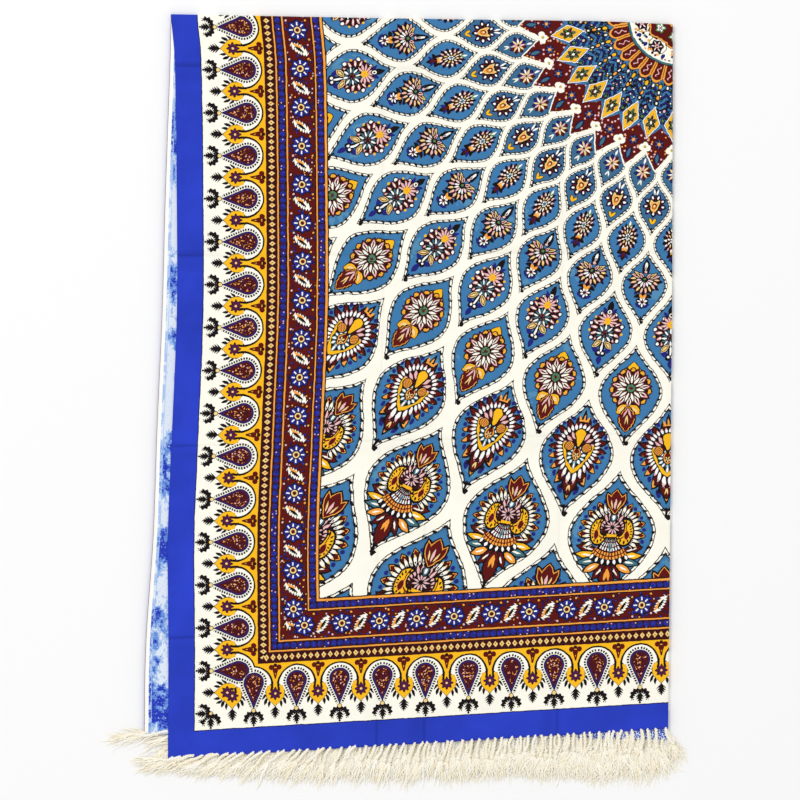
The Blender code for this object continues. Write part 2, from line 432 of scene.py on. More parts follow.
def use_group(tree, name, work_out, outputs=("ink",), **inputs):
    """Puts a new node group in a material, fed with the named numbers. The function works out
    its outputs inside the group. Returns the group's outputs."""
    group = bpy.data.node_groups.new(name, "ShaderNodeTree")
    for direction, titles in (("INPUT", inputs), ("OUTPUT", outputs)):
        for title in titles:
            group.interface.new_socket(title, in_out=direction, socket_type="NodeSocketFloat")
    source = group.nodes.new("NodeGroupInput")
    results = work_out(*[Num(source.outputs[title]) for title in inputs])
    add_node(group, "NodeGroupOutput", named=dict(zip(outputs, results)))
    node = add_node(tree, "ShaderNodeGroup", named=inputs, node_tree=group)
    return [Num(node.outputs[title]) for title in outputs]


def noise_node(tree, vector, scale, detail=2.0, roughness=0.5):
    named = {"Vector": vector, "Scale": scale, "Detail": detail, "Roughness": roughness}
    return add_node(tree, "ShaderNodeTexNoise", named=named)


def noise_value(tree, vector, scale, detail=2.0, roughness=0.5):
    return Num(noise_node(tree, vector, scale, detail, roughness).outputs["Fac"])


def scattered(tree, vector, spacing):
    """Distance from the nearest of many scattered points, and a random number of that point."""
    named = {"Vector": vector, "Scale": 1 / spacing}
    node = add_node(tree, "ShaderNodeTexVoronoi", named=named, voronoi_dimensions="2D")
    split = add_node(tree, "ShaderNodeSeparateColor", node.outputs["Color"])
    return Num(node.outputs["Distance"]) * spacing, Num(split.outputs[0])


# ---------------------------------------------------------------- the print's inks

INKS = {
    # name: sRGB out of 255
    "cream": (255, 252, 238),
    "white": (255, 255, 252),
    "peach": (246, 214, 140),
    "yellow": (253, 190, 28),
    "orange": (248, 166, 66),
    "pink": (238, 190, 190),
    "green": (92, 128, 76),
    "teal": (64, 112, 124),
    "wash": (84, 140, 178),
    "steel": (62, 122, 172),
    "slate": (60, 106, 144),
    "royal": (38, 60, 186),
    "navy": (34, 34, 118),
    "plum": (66, 16, 52),
    "maroon": (92, 14, 12),
    "dark": (58, 8, 14),
    "black": (20, 10, 14),
    # A painted shadow along the side edge of the reverse
    "umber": (150, 120, 96),
    "mist": (226, 235, 248),
    "haze": (172, 198, 238),
    "sky": (104, 146, 222),
}
INK_NUMBER = {name: number for number, name in enumerate(INKS)}


def linear(colour):
    """An sRGB colour out of 255 as linear RGBA."""
    parts = [c / 255 for c in colour]
    return [c / 12.92 if c < 0.04045 else ((c + 0.055) / 1.055) ** 2.4 for c in parts] + [1.0]


def ink_colour(tree, ink):
    """The colour of an ink number."""
    ramp = add_node(tree, "ShaderNodeValToRGB", (ink + 0.5) * (1 / len(INKS)))
    ramp.color_ramp.interpolation = "CONSTANT"
    elements = ramp.color_ramp.elements
    elements.remove(elements[1])
    elements[0].color = linear(INKS["cream"])
    for number, colour in enumerate(INKS.values()):
        if number:
            elements.new(number / len(INKS)).color = linear(colour)
    return ramp.outputs[0]


class Sheet:
    """Takes the inks one over another, as cloth does under a printer's blocks. Its leaves and
    dots are placed by two numbers, side and up. Side is never negative where a motif is the
    same on both sides of a middle line, so they come in pairs there."""

    def __init__(self, ground, side=None, up=None):
        self.ink = ground if isinstance(ground, Num) else INK_NUMBER[ground]
        self.side = side
        self.up = up

    def stamp(self, where, ink):
        self.ink = choose(where, self.ink, INK_NUMBER[ink])

    def over(self, value, only=None, **limits):
        """Stamps each ink where the value is over its limit, in a mask where one is given."""
        for ink, limit in limits.items():
            where = value > limit
            self.stamp(where if only is None else where & only, ink)

    def under(self, value, only=None, **limits):
        """Stamps each ink where the value is under its limit, in a mask where one is given."""
        for ink, limit in limits.items():
            where = value < limit
            self.stamp(where if only is None else where & only, ink)

    def leaf(self, foot, tip, half_width, only=None, **limits):
        """A leaf from foot to tip. A limit over 0 keeps an ink that far inside its edge."""
        self.over(lens(self.side, self.up, foot, tip, half_width), only, **limits)

    def dot(self, across, along, ratio=1.0, **limits):
        """A round dot, or an upright oval. The limits are radii."""
        self.under(spot(self.side, self.up, across, along, ratio), **limits)


# ---------------------------------------------------------------- the print

# The field's cells: staggered rings round the medallion, 32 to a ring. The log of a ring's
# radius in millimetres is a little less than even steps apart.
SECTORS = 32
SECTOR = 2 * math.pi / SECTORS
RING_START = 5.4209
RING_STEP = 0.18163
RING_EASE = 0.00195
# Half the width of the net between the cells, in millimetres: a share of the radius and a
# start, beside a cell's widest place and along its sloping sides. It narrows towards the tips.
NET_BESIDE = (0.0200, -1.2)
NET_SLOPING = (0.0075, 0.5)
NET_TIP = 0.0025
HOOK_AT = 1.30
MEDALLION_TURN = 0.025
STAR_DIAMONDS = 154.5
# The border, from the hem inwards, in millimetres
BAND_END = 36.0
PAISLEY_END = 123.6
DIAMONDS_END = 138.8
LINE_1_END = 140.8
BEADS_1_END = 152.4
LINE_2_END = 154.8
MAIN_END = 192.1
LINE_3_END = 194.7
BEADS_2_END = 205.2
LINE_4_END = 208.2
BORDER_END = 209.8
# Its repeats: the drops, with each drop's middle, point and arch from the foot of its row, the
# rosettes' pitch and the first one's place, and the rows' middles from the hem
PAISLEY_PITCH = 59.3
DROP_CENTRE = 61.8
DROP_RADIUS = 13.2
DROP_POINT = 27.9
DASH_RADIUS = 15.5
ARCH_RADIUS = 20.8
SPANDRELS_START = 59.5
SIDE_ROSETTES = (53.3, 4.3)
END_ROSETTES = (51.8, 18.2)
ROSETTE_ROW = 173.2
DIAMOND_ROW = 131.4
BEAD_ROWS = ((LINE_1_END + BEADS_1_END) / 2, (LINE_3_END + BEADS_2_END) / 2)
# The palmette between two drops, from its foot to its tip: height, then share of its half width
PALMETTE_FOOT = 26.6
PALMETTE_HEIGHT = 36.0
PALMETTE_HALF_WIDTH = 13.4
PALMETTE = (
    (0.00, 0.00),
    (0.10, 0.20),
    (0.26, 0.66),
    (0.42, 0.95),
    (0.56, 1.00),
    (0.72, 0.96),
    (0.82, 0.80),
    (0.86, 0.36),
    (0.92, 0.26),
    (1.00, 0.30),
)
SPECK_SPACING = 4.6


def polar(x, y, middle=0.0):
    """Distance and angle from a point on the y axis, with the angle from +y towards +x."""
    up = y - middle if middle else y
    return length(x, up), angle(x, up)


def spot(x, y, across, along, ratio=1.0):
    """Distance from a point, with x stretched by the ratio for an upright oval."""
    return length((x - across) * ratio if across else x * ratio, y - along)


def lens(x, y, foot, tip, half_width):
    """Positive inside a leaf between two points, pointed at both ends."""
    run_x, run_y = tip[0] - foot[0], tip[1] - foot[1]
    half = math.hypot(run_x, run_y) / 2
    run_x, run_y = run_x / (2 * half), run_y / (2 * half)
    mid_x, mid_y = (foot[0] + tip[0]) / 2, (foot[1] + tip[1]) / 2
    start = -(mid_x * run_x + mid_y * run_y) / half
    along = scaled(x, run_x / half, scaled(y, run_y / half, start))
    off = size(scaled(x, run_y, scaled(y, -run_x, mid_y * run_x - mid_x * run_y)))
    return scaled(along * along, -half_width, half_width) - off


def petals(r, turn, count, inner, outer, half_width):
    """Positive inside slender petals round a middle, each pointed at both ends."""
    off = fold(turn, math.pi / count) * r
    along = scaled(r, 2 / (outer - inner), -(outer + inner) / (outer - inner))
    return scaled(along * along, -half_width, half_width) - off


def beads(r, turn, count, radius):
    """Distance from the nearest of a ring of points round a middle."""
    return length(fold(turn, math.pi / count) * r, r - radius)


# Each flower is drawn in its cell: x across and y outwards, where 1 is half a sector's width.


def small_rosette(sheet, x, y, grain):
    """Ring 1: a star of pale petals over dark leaves, with a white sprig each way."""
    r, turn = polar(x, y, -0.08)
    leaves = petals(r, turn + math.pi / 8, 8, 0.02, 0.58, 0.16)
    sheet.stamp((leaves > 0.0) | (r < 0.33), "black")
    sheet.over(leaves, x < 0.0, maroon=0.05)
    sheet.over(leaves, x > 0.1, navy=0.06)
    rays = petals(r, turn, 8, 0.05, 0.46, 0.062)
    sheet.over(rays, peach=0)
    sheet.over(rays, fold(turn, math.pi / 2) < 0.6, pink=0)
    sheet.over(rays, fold(turn, math.pi / 2) > 1.0, white=0.02)
    sheet.under(r, maroon=0.07)
    sheet.leaf((0, -0.54), (0, -1.02), 0.12, navy=0)
    sheet.leaf((0, -0.58), (0, -1.00), 0.07, white=0)
    sheet.leaf((0, 0.40), (0, 0.92), 0.11, teal=0)
    sheet.leaf((0, 0.44), (0.11, 0.78), 0.04, cream=0)


def heart_rosette(sheet, x, y, grain):
    """Ring 2: a peach heart round a maroon drop, among dark leaves with white tips."""
    r, turn = polar(x, y, -0.04)
    leaves = petals(r, turn, 9, 0.06, 0.66, 0.18)
    sheet.over(leaves, navy=0)
    sheet.stamp((leaves > 0.03) | (r < 0.37), "black")
    sheet.under(spot(fold(turn, math.pi / 9) * r, r, 0.0, 0.45, 1.5), white=0.075)
    sheet.over(petals(r, turn + math.pi / 9, 9, 0.24, 0.50, 0.035), maroon=0)
    lobes = lens(sheet.side, y, (0, 0.22), (0.22, -0.36), 0.11)
    heart = more(lobes, lens(sheet.side, y, (0, 0.34), (0.04, -0.26), 0.17))
    sheet.over(heart, peach=0, orange=0.05)
    sheet.dot(0, -0.02, 1.3, maroon=0.16)
    sheet.dot(0, 0, 1.3, orange=0.10)
    sheet.dot(0, -0.04, 1.6, cream=0.045)
    sheet.leaf((0, -0.50), (0, -1.00), 0.11, black=0)
    sheet.leaf((0.04, -0.60), (0.14, -0.98), 0.05, white=0)
    sheet.leaf((0, 0.94), (0.17, 0.60), 0.08, black=0)
    sheet.leaf((0, 0.92), (0.15, 0.64), 0.055, yellow=0)


def flame_rosette(sheet, x, y, grain):
    """Ring 3: a tall flower of two rows of pale petals round a teal middle, over a bud."""
    r, turn = polar(x, scaled(y, 0.80, 0.16))
    thorns = petals(r, turn, 14, 0.36, 0.62, 0.07)
    sheet.over(thorns, navy=0)
    sheet.stamp((thorns > 0.02) | (r < 0.50), "black")
    outer = petals(r, turn + math.pi / 14, 14, 0.30, 0.53, 0.056)
    sheet.over(outer, maroon=0, pink=0.018)
    sheet.over(outer, fold(turn, 0.7) < 0.3, cream=0.018)
    sheet.over(outer, r < 0.36, maroon=0)
    inner = petals(r, turn, 11, 0.14, 0.35, 0.046)
    sheet.over(inner, maroon=-0.006, peach=0.014)
    sheet.over(inner, fold(turn + 0.4, 0.9) < 0.4, cream=0.014)
    sheet.under(r, black=0.16)
    sheet.under(beads(r, turn, 6, 0.10), white=0.036)
    sheet.under(r, teal=0.07)
    sheet.leaf((0, -0.70), (0, -1.04), 0.055, cream=0)
    sheet.leaf((0.02, -0.66), (0.13, -0.90), 0.05, green=0)
    sheet.leaf((0, 0.30), (0, 0.98), 0.16, black=0)
    sheet.leaf((0.02, 0.44), (0.36, 0.64), 0.10, black=0)
    sheet.leaf((0.06, 0.62), (0.26, 0.84), 0.06, navy=0)
    sheet.leaf((0, 0.30), (0, 0.98), 0.16, maroon=0.10)
    sheet.leaf((0.02, 0.34), (0.13, 0.50), 0.05, orange=0)
    sheet.dot(0, 0.38, 1.2, orange=0.10)
    sheet.dot(0, 0.35, 1.8, peach=0.06)


def fan_flower(sheet, x, y, grain):
    """Ring 4: rows of petals fanned below a cone, over a small dark flower."""
    r, turn = polar(x, y, -0.26)
    low = size(turn) < 1.75
    thorns = petals(r, turn, 13, 0.34, 0.76, 0.09)
    sheet.over(thorns, low, navy=0)
    sheet.stamp(((thorns > 0.025) | (r < 0.61)) & low, "black")
    outer = petals(r, turn + math.pi / 18, 18, 0.34, 0.60, 0.040)
    sheet.over(outer, low, maroon=-0.02, peach=0)
    sheet.over(outer, low & (fold(turn, 0.5) < 0.2), pink=0)
    sheet.under(r, low, black=0.38)
    middle = petals(r, turn, 14, 0.14, 0.37, 0.038)
    sheet.over(middle, low, white=0)
    sheet.over(middle, low & (fold(turn, 0.6) < 0.2), pink=0)
    sheet.leaf((0.06, -0.28), (0.60, -0.44), 0.06, black=-0.04, pink=0, maroon=0.035)
    sheet.leaf((0.06, -0.28), (0.48, -0.56), 0.06, black=-0.04, peach=0, maroon=0.035)
    sheet.leaf((0.06, -0.28), (0.22, -0.52), 0.06, black=-0.04, pink=0, maroon=0.035)
    sheet.under(r, black=0.13, green=0.06)
    sheet.leaf((0, -0.26), (0, -1.22), 0.17, y < -0.50, black=0)
    sheet.dot(0, -0.58, 0.8, pink=0.05)
    sheet.leaf((0, -0.62), (0.02, -1.04), 0.042, white=0)
    sheet.leaf((0, -0.66), (0, -0.84), 0.022, maroon=0)
    sheet.leaf((0.04, 0.38), (0.36, 0.50), 0.08, black=0)
    bud, bud_turn = polar(x, y, 0.68)
    sheet.under(bud, black=0.27 - fold(bud_turn, math.pi / 7) * 0.1)
    sheet.over(petals(bud, bud_turn, 7, 0.05, 0.21, 0.034), white=0)
    sheet.under(bud, maroon=0.06)
    sheet.leaf((0, 0.56), (0.13, 0.36), 0.055, orange=0)
    sheet.leaf((0.04, 0.92), (0.28, 0.74), 0.06, navy=0)


def star_rosette(sheet, x, y, grain):
    """Ring 5: petals and pearls round a yellow star and a teal and white rosette, on a stem."""
    sheet.leaf((0, -0.60), (0, -1.14), 0.12, black=0)
    sheet.leaf((0.04, -0.58), (0.28, -0.86), 0.07, navy=0)
    r, turn = polar(x, y, -0.08)
    rim = petals(r, turn + math.pi / 14, 14, 0.26, 0.62, 0.074)
    pearl = beads(r, turn, 7, 0.60)
    sheet.under(pearl, black=0.095)
    sheet.under(r, black=0.58)
    sheet.over(rim, maroon=-0.004)
    sheet.over(rim, r < 0.55, pink=0.034)
    sheet.over(rim, r < 0.46, cream=0.046)
    sheet.under(beads(r, turn + math.pi / 7, 7, 0.60), yellow=0.045)
    sheet.under(pearl, white=0.058)
    star, star_turn = polar(x, y, -0.36)
    burst = petals(star, star_turn, 13, 0.08, 0.40, 0.045)
    above = y < -0.18
    sheet.under(star, above, black=0.36)
    sheet.over(burst, above, maroon=-0.012, pink=0.008)
    inner, inner_turn = polar(x, y, 0.10)
    sheet.under(inner, black=0.35)
    rays = petals(inner, inner_turn, 16, 0.12, 0.34, 0.030)
    sheet.over(rays, white=0)
    sheet.over(rays, fold(inner_turn, math.pi / 8) > 0.2, teal=0)
    sheet.under(inner, dark=0.14)
    sheet.under(beads(inner, inner_turn, 5, 0.09), teal=0.025)
    sheet.dot(0, 0.02, 1.2, maroon=0.06)
    sheet.over(petals(star, star_turn, 6, 0.0, 0.16, 0.055), yellow=0)
    sheet.under(star, orange=0.04)
    sheet.dot(0, -0.72, black=0.12, cream=0.08)
    sheet.dot(0, -0.72, black=0.04)
    sheet.leaf((0.06, 0.34), (0.34, 0.60), 0.09, black=-0.035, peach=0, maroon=0.026)
    sheet.leaf((0.06, 0.34), (0.34, 0.60), 0.09, peach=0.054)
    sheet.leaf((0.06, 0.72), (0.34, 0.62), 0.08, navy=0)
    sheet.leaf((0, 0.36), (0, 0.90), 0.10, black=0)
    sheet.leaf((0, 0.38), (0, 0.80), 0.035, white=0)
    sheet.dot(0.08, 0.78, black=0.10)
    sheet.dot(0.07, 0.76, white=0.045)
    sheet.leaf((0, 0.82), (0, 1.16), 0.09, navy=0)


def great_rosette(sheet, x, y, grain):
    """Ring 6: a full rosette edged with yellow, a yellow bud above and a tulip below."""
    r, turn = polar(x, y, -0.16)
    sheet.leaf((0, -0.36), (0, -1.02), 0.22, black=-0.04)
    sheet.dot(0.19, -0.66, black=0.16)
    sheet.leaf((0, -0.36), (0, -1.02), 0.22, yellow=0)
    sheet.dot(0.19, -0.66, yellow=0.12)
    sheet.leaf((0.08, -0.52), (0.06, -0.86), 0.02, orange=0)
    sheet.dot(0, -0.76, 1.6, green=0.08)
    sheet.dot(0, -0.76, 1.8, black=0.045)
    lace = beads(r, turn + math.pi / 11, 11, 0.56)
    sheet.under(lace, black=0.13)
    sheet.under(lace, grain > 0.42, yellow=0.09)
    sheet.under(lace, r > 0.58, orange=0.08)
    sheet.under(r, black=0.55)
    rim = petals(r, turn, 11, 0.20, 0.66, 0.108)
    sheet.over(rim, black=-0.030, maroon=-0.004, cream=0.046)
    sheet.over(rim, r > 0.48, pink=0.046)
    sheet.over(rim, r > 0.34, maroon=0.082)
    inner = petals(r, turn + math.pi / 11, 11, 0.14, 0.44, 0.046)
    sheet.over(inner, maroon=-0.030, black=-0.008, cream=0.008)
    sheet.under(r, black=0.17)
    sheet.under(r, grain > 0.40, green=0.13)
    sheet.under(r, grain > 0.52, teal=0.10)
    sheet.under(r, maroon=0.045)
    sheet.leaf((0.05, 0.36), (0.34, 0.62), 0.13, black=-0.04, yellow=0, orange=0.05, peach=0.085)
    frill = fold(y, 0.055) * 0.5
    tulip = {"black": frill - 0.045, "orange": frill, "maroon": frill + 0.024}
    sheet.leaf((0, 0.38), (0, 1.16), 0.24, **tulip)
    sheet.leaf((0, 0.44), (0.12, 0.74), 0.024, pink=0)
    sheet.leaf((0, 0.66), (0.05, 0.94), 0.018, peach=0)
    sheet.leaf((0.12, 0.78), (0.28, 0.62), 0.05, maroon=0)


def drop_palmette(sheet, x, y, grain):
    """Ring 7: a yellow drop in a pointed shell of petals, two hatched discs and a scroll."""
    side = sheet.side
    below = more(y + 0.26, 0.0) * 0.58
    above = more(-0.26 - y, 0.0)
    shell = scaled(less(side, below), 0.28, length(x, below + above))
    turn = angle(x, y + 0.20)
    sheet.under(beads(shell, turn + math.pi / 17, 17, 0.78), navy=0.055)
    thorns = petals(shell, turn, 17, 0.40, 0.84, 0.095)
    sheet.over(thorns, black=-0.01, maroon=0.035)
    sheet.over(thorns, (shell > 0.70) & (y > -0.10), orange=0.025)
    sheet.leaf((0.04, 0.52), (0.34, 0.70), 0.10, black=0)
    sheet.leaf((0.06, 0.54), (0.30, 0.68), 0.045, maroon=0)
    sheet.leaf((0.04, 0.72), (0.24, 0.92), 0.07, black=0)
    sheet.leaf((0, 0.40), (0, 1.06), 0.18, black=-0.03, maroon=0.02)
    sheet.leaf((0, 0.62), (0.07, 0.80), 0.022, pink=0)
    sheet.leaf((0, 0.78), (0.04, 0.96), 0.018, peach=0)
    sheet.under(shell, dark=0.62)
    rim = petals(shell, turn + math.pi / 32, 32, 0.43, 0.63, 0.034)
    sheet.over(rim, black=-0.014, white=0)
    sheet.over(rim, shell > 0.57, pink=0)
    sheet.under(shell, black=0.455)
    sheet.stamp(within(shell, 0.400, 0.034) & (y > -0.30), "yellow")
    sheet.under(shell, dark=0.36)
    sheet.over(petals(shell, turn, 17, 0.20, 0.44, 0.036), y < -0.30, maroon=-0.018, pink=0)
    scroll, scroll_turn = polar(x, y, 0.02)
    sheet.under(scroll, black=0.27)
    sheet.over(petals(scroll, scroll_turn, 11, 0.12, 0.28, 0.050), teal=0, white=0.022)
    sheet.leaf((0, 0.16), (0, -0.22), 0.12, black=-0.025, orange=0, maroon=0.03)
    sheet.over(petals(scroll, scroll_turn, 5, 0.01, 0.10, 0.016), peach=0)
    sheet.leaf((0, 0.40), (0, 0.18), 0.045, teal=0)
    sheet.leaf((0, 0.38), (0, 0.20), 0.025, white=0)
    disc = spot(side, y, 0.25, -0.22)
    sheet.under(disc, black=0.145, orange=0.115)
    sheet.under(disc, fold(side * 0.8 + y, 0.026) < 0.011, maroon=0.105)
    taper = more(y + 0.58, 0.0)
    drop = length(x, more(-0.58 - y, 0.0) + taper * 0.12) + taper * 0.27
    sheet.under(drop, black=0.175, yellow=0.135)
    sheet.stamp((side < 0.17) & within(y, -0.96, 0.06), "black")
    sheet.leaf((0, -0.80), (0, -1.30), 0.07, black=0)
    sheet.stamp((side < 0.14) & within(y, -0.96, 0.024), "orange")
    sheet.leaf((0.08, -0.95), (0.15, -1.10), 0.032, orange=0)
    sheet.leaf((0, -0.94), (0, -1.16), 0.025, orange=0)


def grand_palmette(sheet, x, y, grain):
    """Ring 8 and beyond: a tulip over two yellow crescents, a white fan, arcs and leaves."""
    side = sheet.side
    r, turn = polar(x, y, -0.08)
    wide = size(turn) > 0.95
    sheet.under(beads(r, turn + math.pi / 17, 17, 0.74), wide, navy=0.045)
    thorns = petals(r, turn, 17, 0.44, 0.80, 0.100)
    sheet.over(thorns, wide, black=-0.004)
    sheet.over(thorns, wide & (r > 0.70), orange=0.028)
    sheet.over(thorns, wide, maroon=0.046)
    for foot, tip, ink in (
        ((0.26, 0.34), (0.72, 0.24), "maroon"),
        ((0.24, 0.44), (0.72, 0.42), "yellow"),
        ((0.22, 0.52), (0.66, 0.60), "teal"),
        ((0.18, 0.60), (0.50, 0.78), "orange"),
        ((0.04, 0.60), (0.28, 0.92), "maroon"),
    ):
        sheet.leaf(foot, tip, 0.070, **{"black": -0.032, ink: 0, "cream": 0.050})
    frill = fold(y, 0.05) * 0.5
    sheet.leaf((0, 0.58), (0, 1.26), 0.15, black=frill - 0.04, maroon=frill)
    sheet.leaf((0, 0.70), (0.05, 0.96), 0.03, orange=0)
    sheet.under(r, wide, black=0.64)
    rim = petals(r, turn + math.pi / 38, 38, 0.44, 0.68, 0.031)
    sheet.over(rim, wide, cream=0)
    sheet.over(rim, wide & (r > 0.62), peach=0)
    sheet.over(rim, wide & (r < 0.53), maroon=0.014)
    sheet.under(r, dark=0.44)
    sheet.over(petals(r, turn, 26, 0.24, 0.46, 0.028), pink=0)
    arc, arc_turn = polar(x, y, -0.16)
    low = size(arc_turn) < 0.62
    sheet.stamp(within(arc, 0.60, 0.20) & low, "black")
    sheet.stamp(within(arc, 0.59, 0.070) & low, "orange")
    sheet.stamp(within(arc, 0.59, 0.012) & low, "maroon")
    hatch = fold(arc_turn, math.pi / 56) * arc < 0.013
    sheet.stamp(within(arc, 0.59, 0.08) & hatch & low, "maroon")
    sheet.over(petals(arc, arc_turn, 34, 0.665, 0.78, 0.030), low, white=0)
    fan = within(arc, 0.36, 0.145) & (size(arc_turn) < 0.50)
    sheet.stamp(fan, "black")
    sheet.over(fold(arc_turn, math.pi / 48) * arc, fan, white=0.014)
    sheet.under(fold(arc, 0.05), fan, maroon=0.014)
    sheet.leaf((0, 0.36), (0, 0.12), 0.03, teal=0)
    eye, eye_turn = polar(x, y, -0.20)
    sheet.under(eye, black=0.19)
    sheet.over(petals(eye, eye_turn, 11, 0.04, 0.18, 0.017), pink=0)
    sheet.leaf((0, -0.30), (0, -0.54), 0.10, black=0)
    sheet.leaf((0, -0.32), (0, -0.54), 0.06, teal=0)
    sheet.leaf((0, -0.36), (0, -0.50), 0.03, white=0)
    outer = spot(side, y, 0.30, -0.10, 1.5)
    hollow = spot(side, y, 0.17, -0.20, 1.5)
    sheet.under(outer, hollow > 0.15, black=0.325)
    crescent = (outer < 0.275) & (hollow > 0.20)
    sheet.stamp(crescent, "yellow")
    sheet.stamp(within(hollow, 0.25, 0.016) & crescent, "maroon")
    dots = petals(outer, angle(side - 0.30, y + 0.10), 16, 0.18, 0.27, 0.022)
    sheet.over(dots, crescent, black=0)
    sheet.leaf((0.35, 0.08), (0.36, -0.14), 0.055, orange=-0.018, maroon=0)
    sheet.stamp((side < 0.12) & within(y, -0.02, 0.03), "yellow")
    flare = lens(side, y, (0.03, -0.58), (0.23, -0.98), 0.08)
    tulip = more(lens(side, y, (0, -0.50), (0, -1.08), 0.16), flare)
    sheet.over(tulip, black=-0.045, orange=0, maroon=0.02)
    sheet.leaf((0, -0.60), (0, -0.86), 0.03, pink=0)
    sheet.leaf((0.05, -0.62), (0.12, -0.82), 0.018, peach=0)


FLOWERS = (
    # flower, then how far x and y are stretched and y moved to fit it to its cell
    (small_rosette, 1.0, 1.0, 0.0),
    (heart_rosette, 1.0, 1.0, 0.0),
    (flame_rosette, 1.30, 1.10, -0.04),
    (fan_flower, 1.12, 1.12, 0.0),
    (star_rosette, 1.20, 1.12, 0.01),
    (great_rosette, 1.22, 1.16, -0.04),
    (drop_palmette, 1.25, 1.20, -0.02),
    (grand_palmette, 1.24, 1.14, -0.06),
)


def fitted(flower, wide, tall, moved):
    """The function that works out a flower's ink in its cell, over the cell's ground."""

    def work_out(x, y, grain, ground):
        x, y = x * wide, scaled(y, tall, moved)
        sheet = Sheet(ground, size(x), y)
        flower(sheet, x, y, grain)
        return [sheet.ink]

    return work_out


def field_places(r, theta):
    """Where a point is in the lattice: its ring, its cell's ring, its place in the cell in half
    sectors, with y outwards, and how far inside the cell's outline it is, in millimetres."""
    log_r = math_node("LOGARITHM", r, math.e)
    under_root = scaled(log_r, -4 * RING_EASE, RING_STEP**2 + 4 * RING_EASE * RING_START)
    ring = scaled(root(under_root), -1 / (2 * RING_EASE), RING_STEP / (2 * RING_EASE) + 1)
    sector = theta * (1 / SECTOR)
    swing = cosine(ring * math.pi)
    edge = fold(sector, 0.5) + scaled(swing, 0.25, -0.25)
    odd = edge < 0.0
    away_rings = wrap(ring - odd, 1.0)
    cell_ring = ring - away_rings
    away_sectors = wrap(scaled(odd, 0.5, sector - 0.5), 0.5)
    ring_size = scaled(cell_ring, -2 * RING_EASE, RING_STEP + 2 * RING_EASE)
    x = away_sectors * 2.0
    y = away_rings * ring_size * (2 / SECTOR)
    steep = root(scaled(swing * swing, -21.3, 47.3))
    bulge = cosine(away_rings * math.pi)
    full = more(bulge, 0.0)
    sloping = scaled(r, *NET_SLOPING) + less(bulge, 0.0) * r * NET_TIP
    net = (scaled(r, *NET_BESIDE) - sloping) * full * full + sloping
    inside = size(edge) * r / steep - net
    return [ring, cell_ring, x, y, inside]


def print_ground(r, ring, cell_ring, x, y, inside, grain, patch):
    """The cream net, and a cell's blue ground with its laddered outline and its hook."""
    line = scaled(r, 0.0013, 0.30)
    inside = choose(cell_ring > 0.5, -1.0, inside)
    rung = fold(ring, 0.047)
    sheet = Sheet("cream")
    sheet.over(inside, grain > 0.34, black=0)
    sheet.over(inside, cream=line)
    sheet.over(inside, (rung < 0.013) & (grain > 0.40), black=line * 0.5)
    sheet.over(inside, black=line * 2.2 + 0.8)
    blue = inside > line * 3.1 + 1.1
    sheet.stamp(blue, "steel")
    sheet.over(patch, blue, wash=0.60)
    sheet.under(cell_ring, blue, slate=2.5)
    sheet.under(inside, blue & (grain < 0.5), slate=line * 4.6 + 1.5)
    tick = within(inside, line * 2.5 + 0.9, line * 1.0 + 0.4) & (rung < 0.019)
    sheet.over(grain, tick, black=0.36)
    sheet.under(spot(x, y, -0.05, HOOK_AT), black=0.055)
    sheet.under(size(x), within(y, HOOK_AT - 0.10, 0.10), black=0.024)
    return [sheet.ink]


def star_edge(sector):
    """The medallion's outer edge: cusps between the inner ring's cells."""
    return fold(sector, 0.5) * 59 + 190.5


def print_star(sheet, from_half, r, near, pick):
    """The maroon star, with a flower and a leaf between its diamonds."""
    sheet.under(near, pick < 0.22, pink=1.4)
    sheet.under(near, pick > 0.85, orange=1.2)
    petal, petal_turn = polar(from_half, r, 183.0)
    sheet.under(petal, dark=7.0)
    sheet.over(petals(petal, petal_turn, 6, 1.6, 6.6, 1.7), navy=0)
    sheet.over(petals(petal, petal_turn, 6, 2.4, 5.6, 0.7), teal=0)
    sheet.under(petal, orange=2.3)
    sheet.leaf((0, 193.5), (0, 213.0), 4.4, black=0, navy=1.2, teal=2.2)


def print_blue_ring(sheet, sector, across, from_half, r, grain, near, pick):
    """The blue ring, crowded with dark sprigs and bright specks."""
    sheet.under(r, steel=177.0 - fold(sector, 0.5) * 38)
    sprig = fold(r - from_half * 0.9, 4.7)
    reach = scaled(r, 0.060, -1.0)
    ring = within(r, 126.0, 32.0)
    sheet.under(sprig, ring & (from_half < reach + 1.0), black=2.6)
    sheet.under(sprig, ring & (from_half < reach), navy=1.2)
    sheet.over(grain, ring, black=0.60)
    sheet.under(near, ring & (pick > 0.56), black=2.3)
    bright = {"slate": 0.66, "white": 0.76, "yellow": 0.84, "green": 0.91, "pink": 0.97}
    sheet.over(pick, ring & (near < 1.05), **bright)
    sheet.dot(0, 103.0, 1.3, black=3.8, white=2.1)
    sheet.dot(0, 135.0, 1.3, black=3.8, pink=2.1)
    sheet.dot(0, 149.0, 1.3, black=3.8, green=2.1)
    string = 3.8 - fold(r - 102.0, 4.0) * 0.55
    sheet.under(across, within(r, 114.0, 16.0), black=string)
    sheet.under(spot(across, r, 0.0, 103.0, 1.6), yellow=3.2)
    sheet.under(spot(across, r, 0.0, 111.0, 1.6), white=2.0)
    sheet.under(spot(across, r, 0.0, 118.0, 1.6), orange=2.8)
    sheet.under(spot(across, r, 0.0, 126.0, 1.6), cream=1.9)


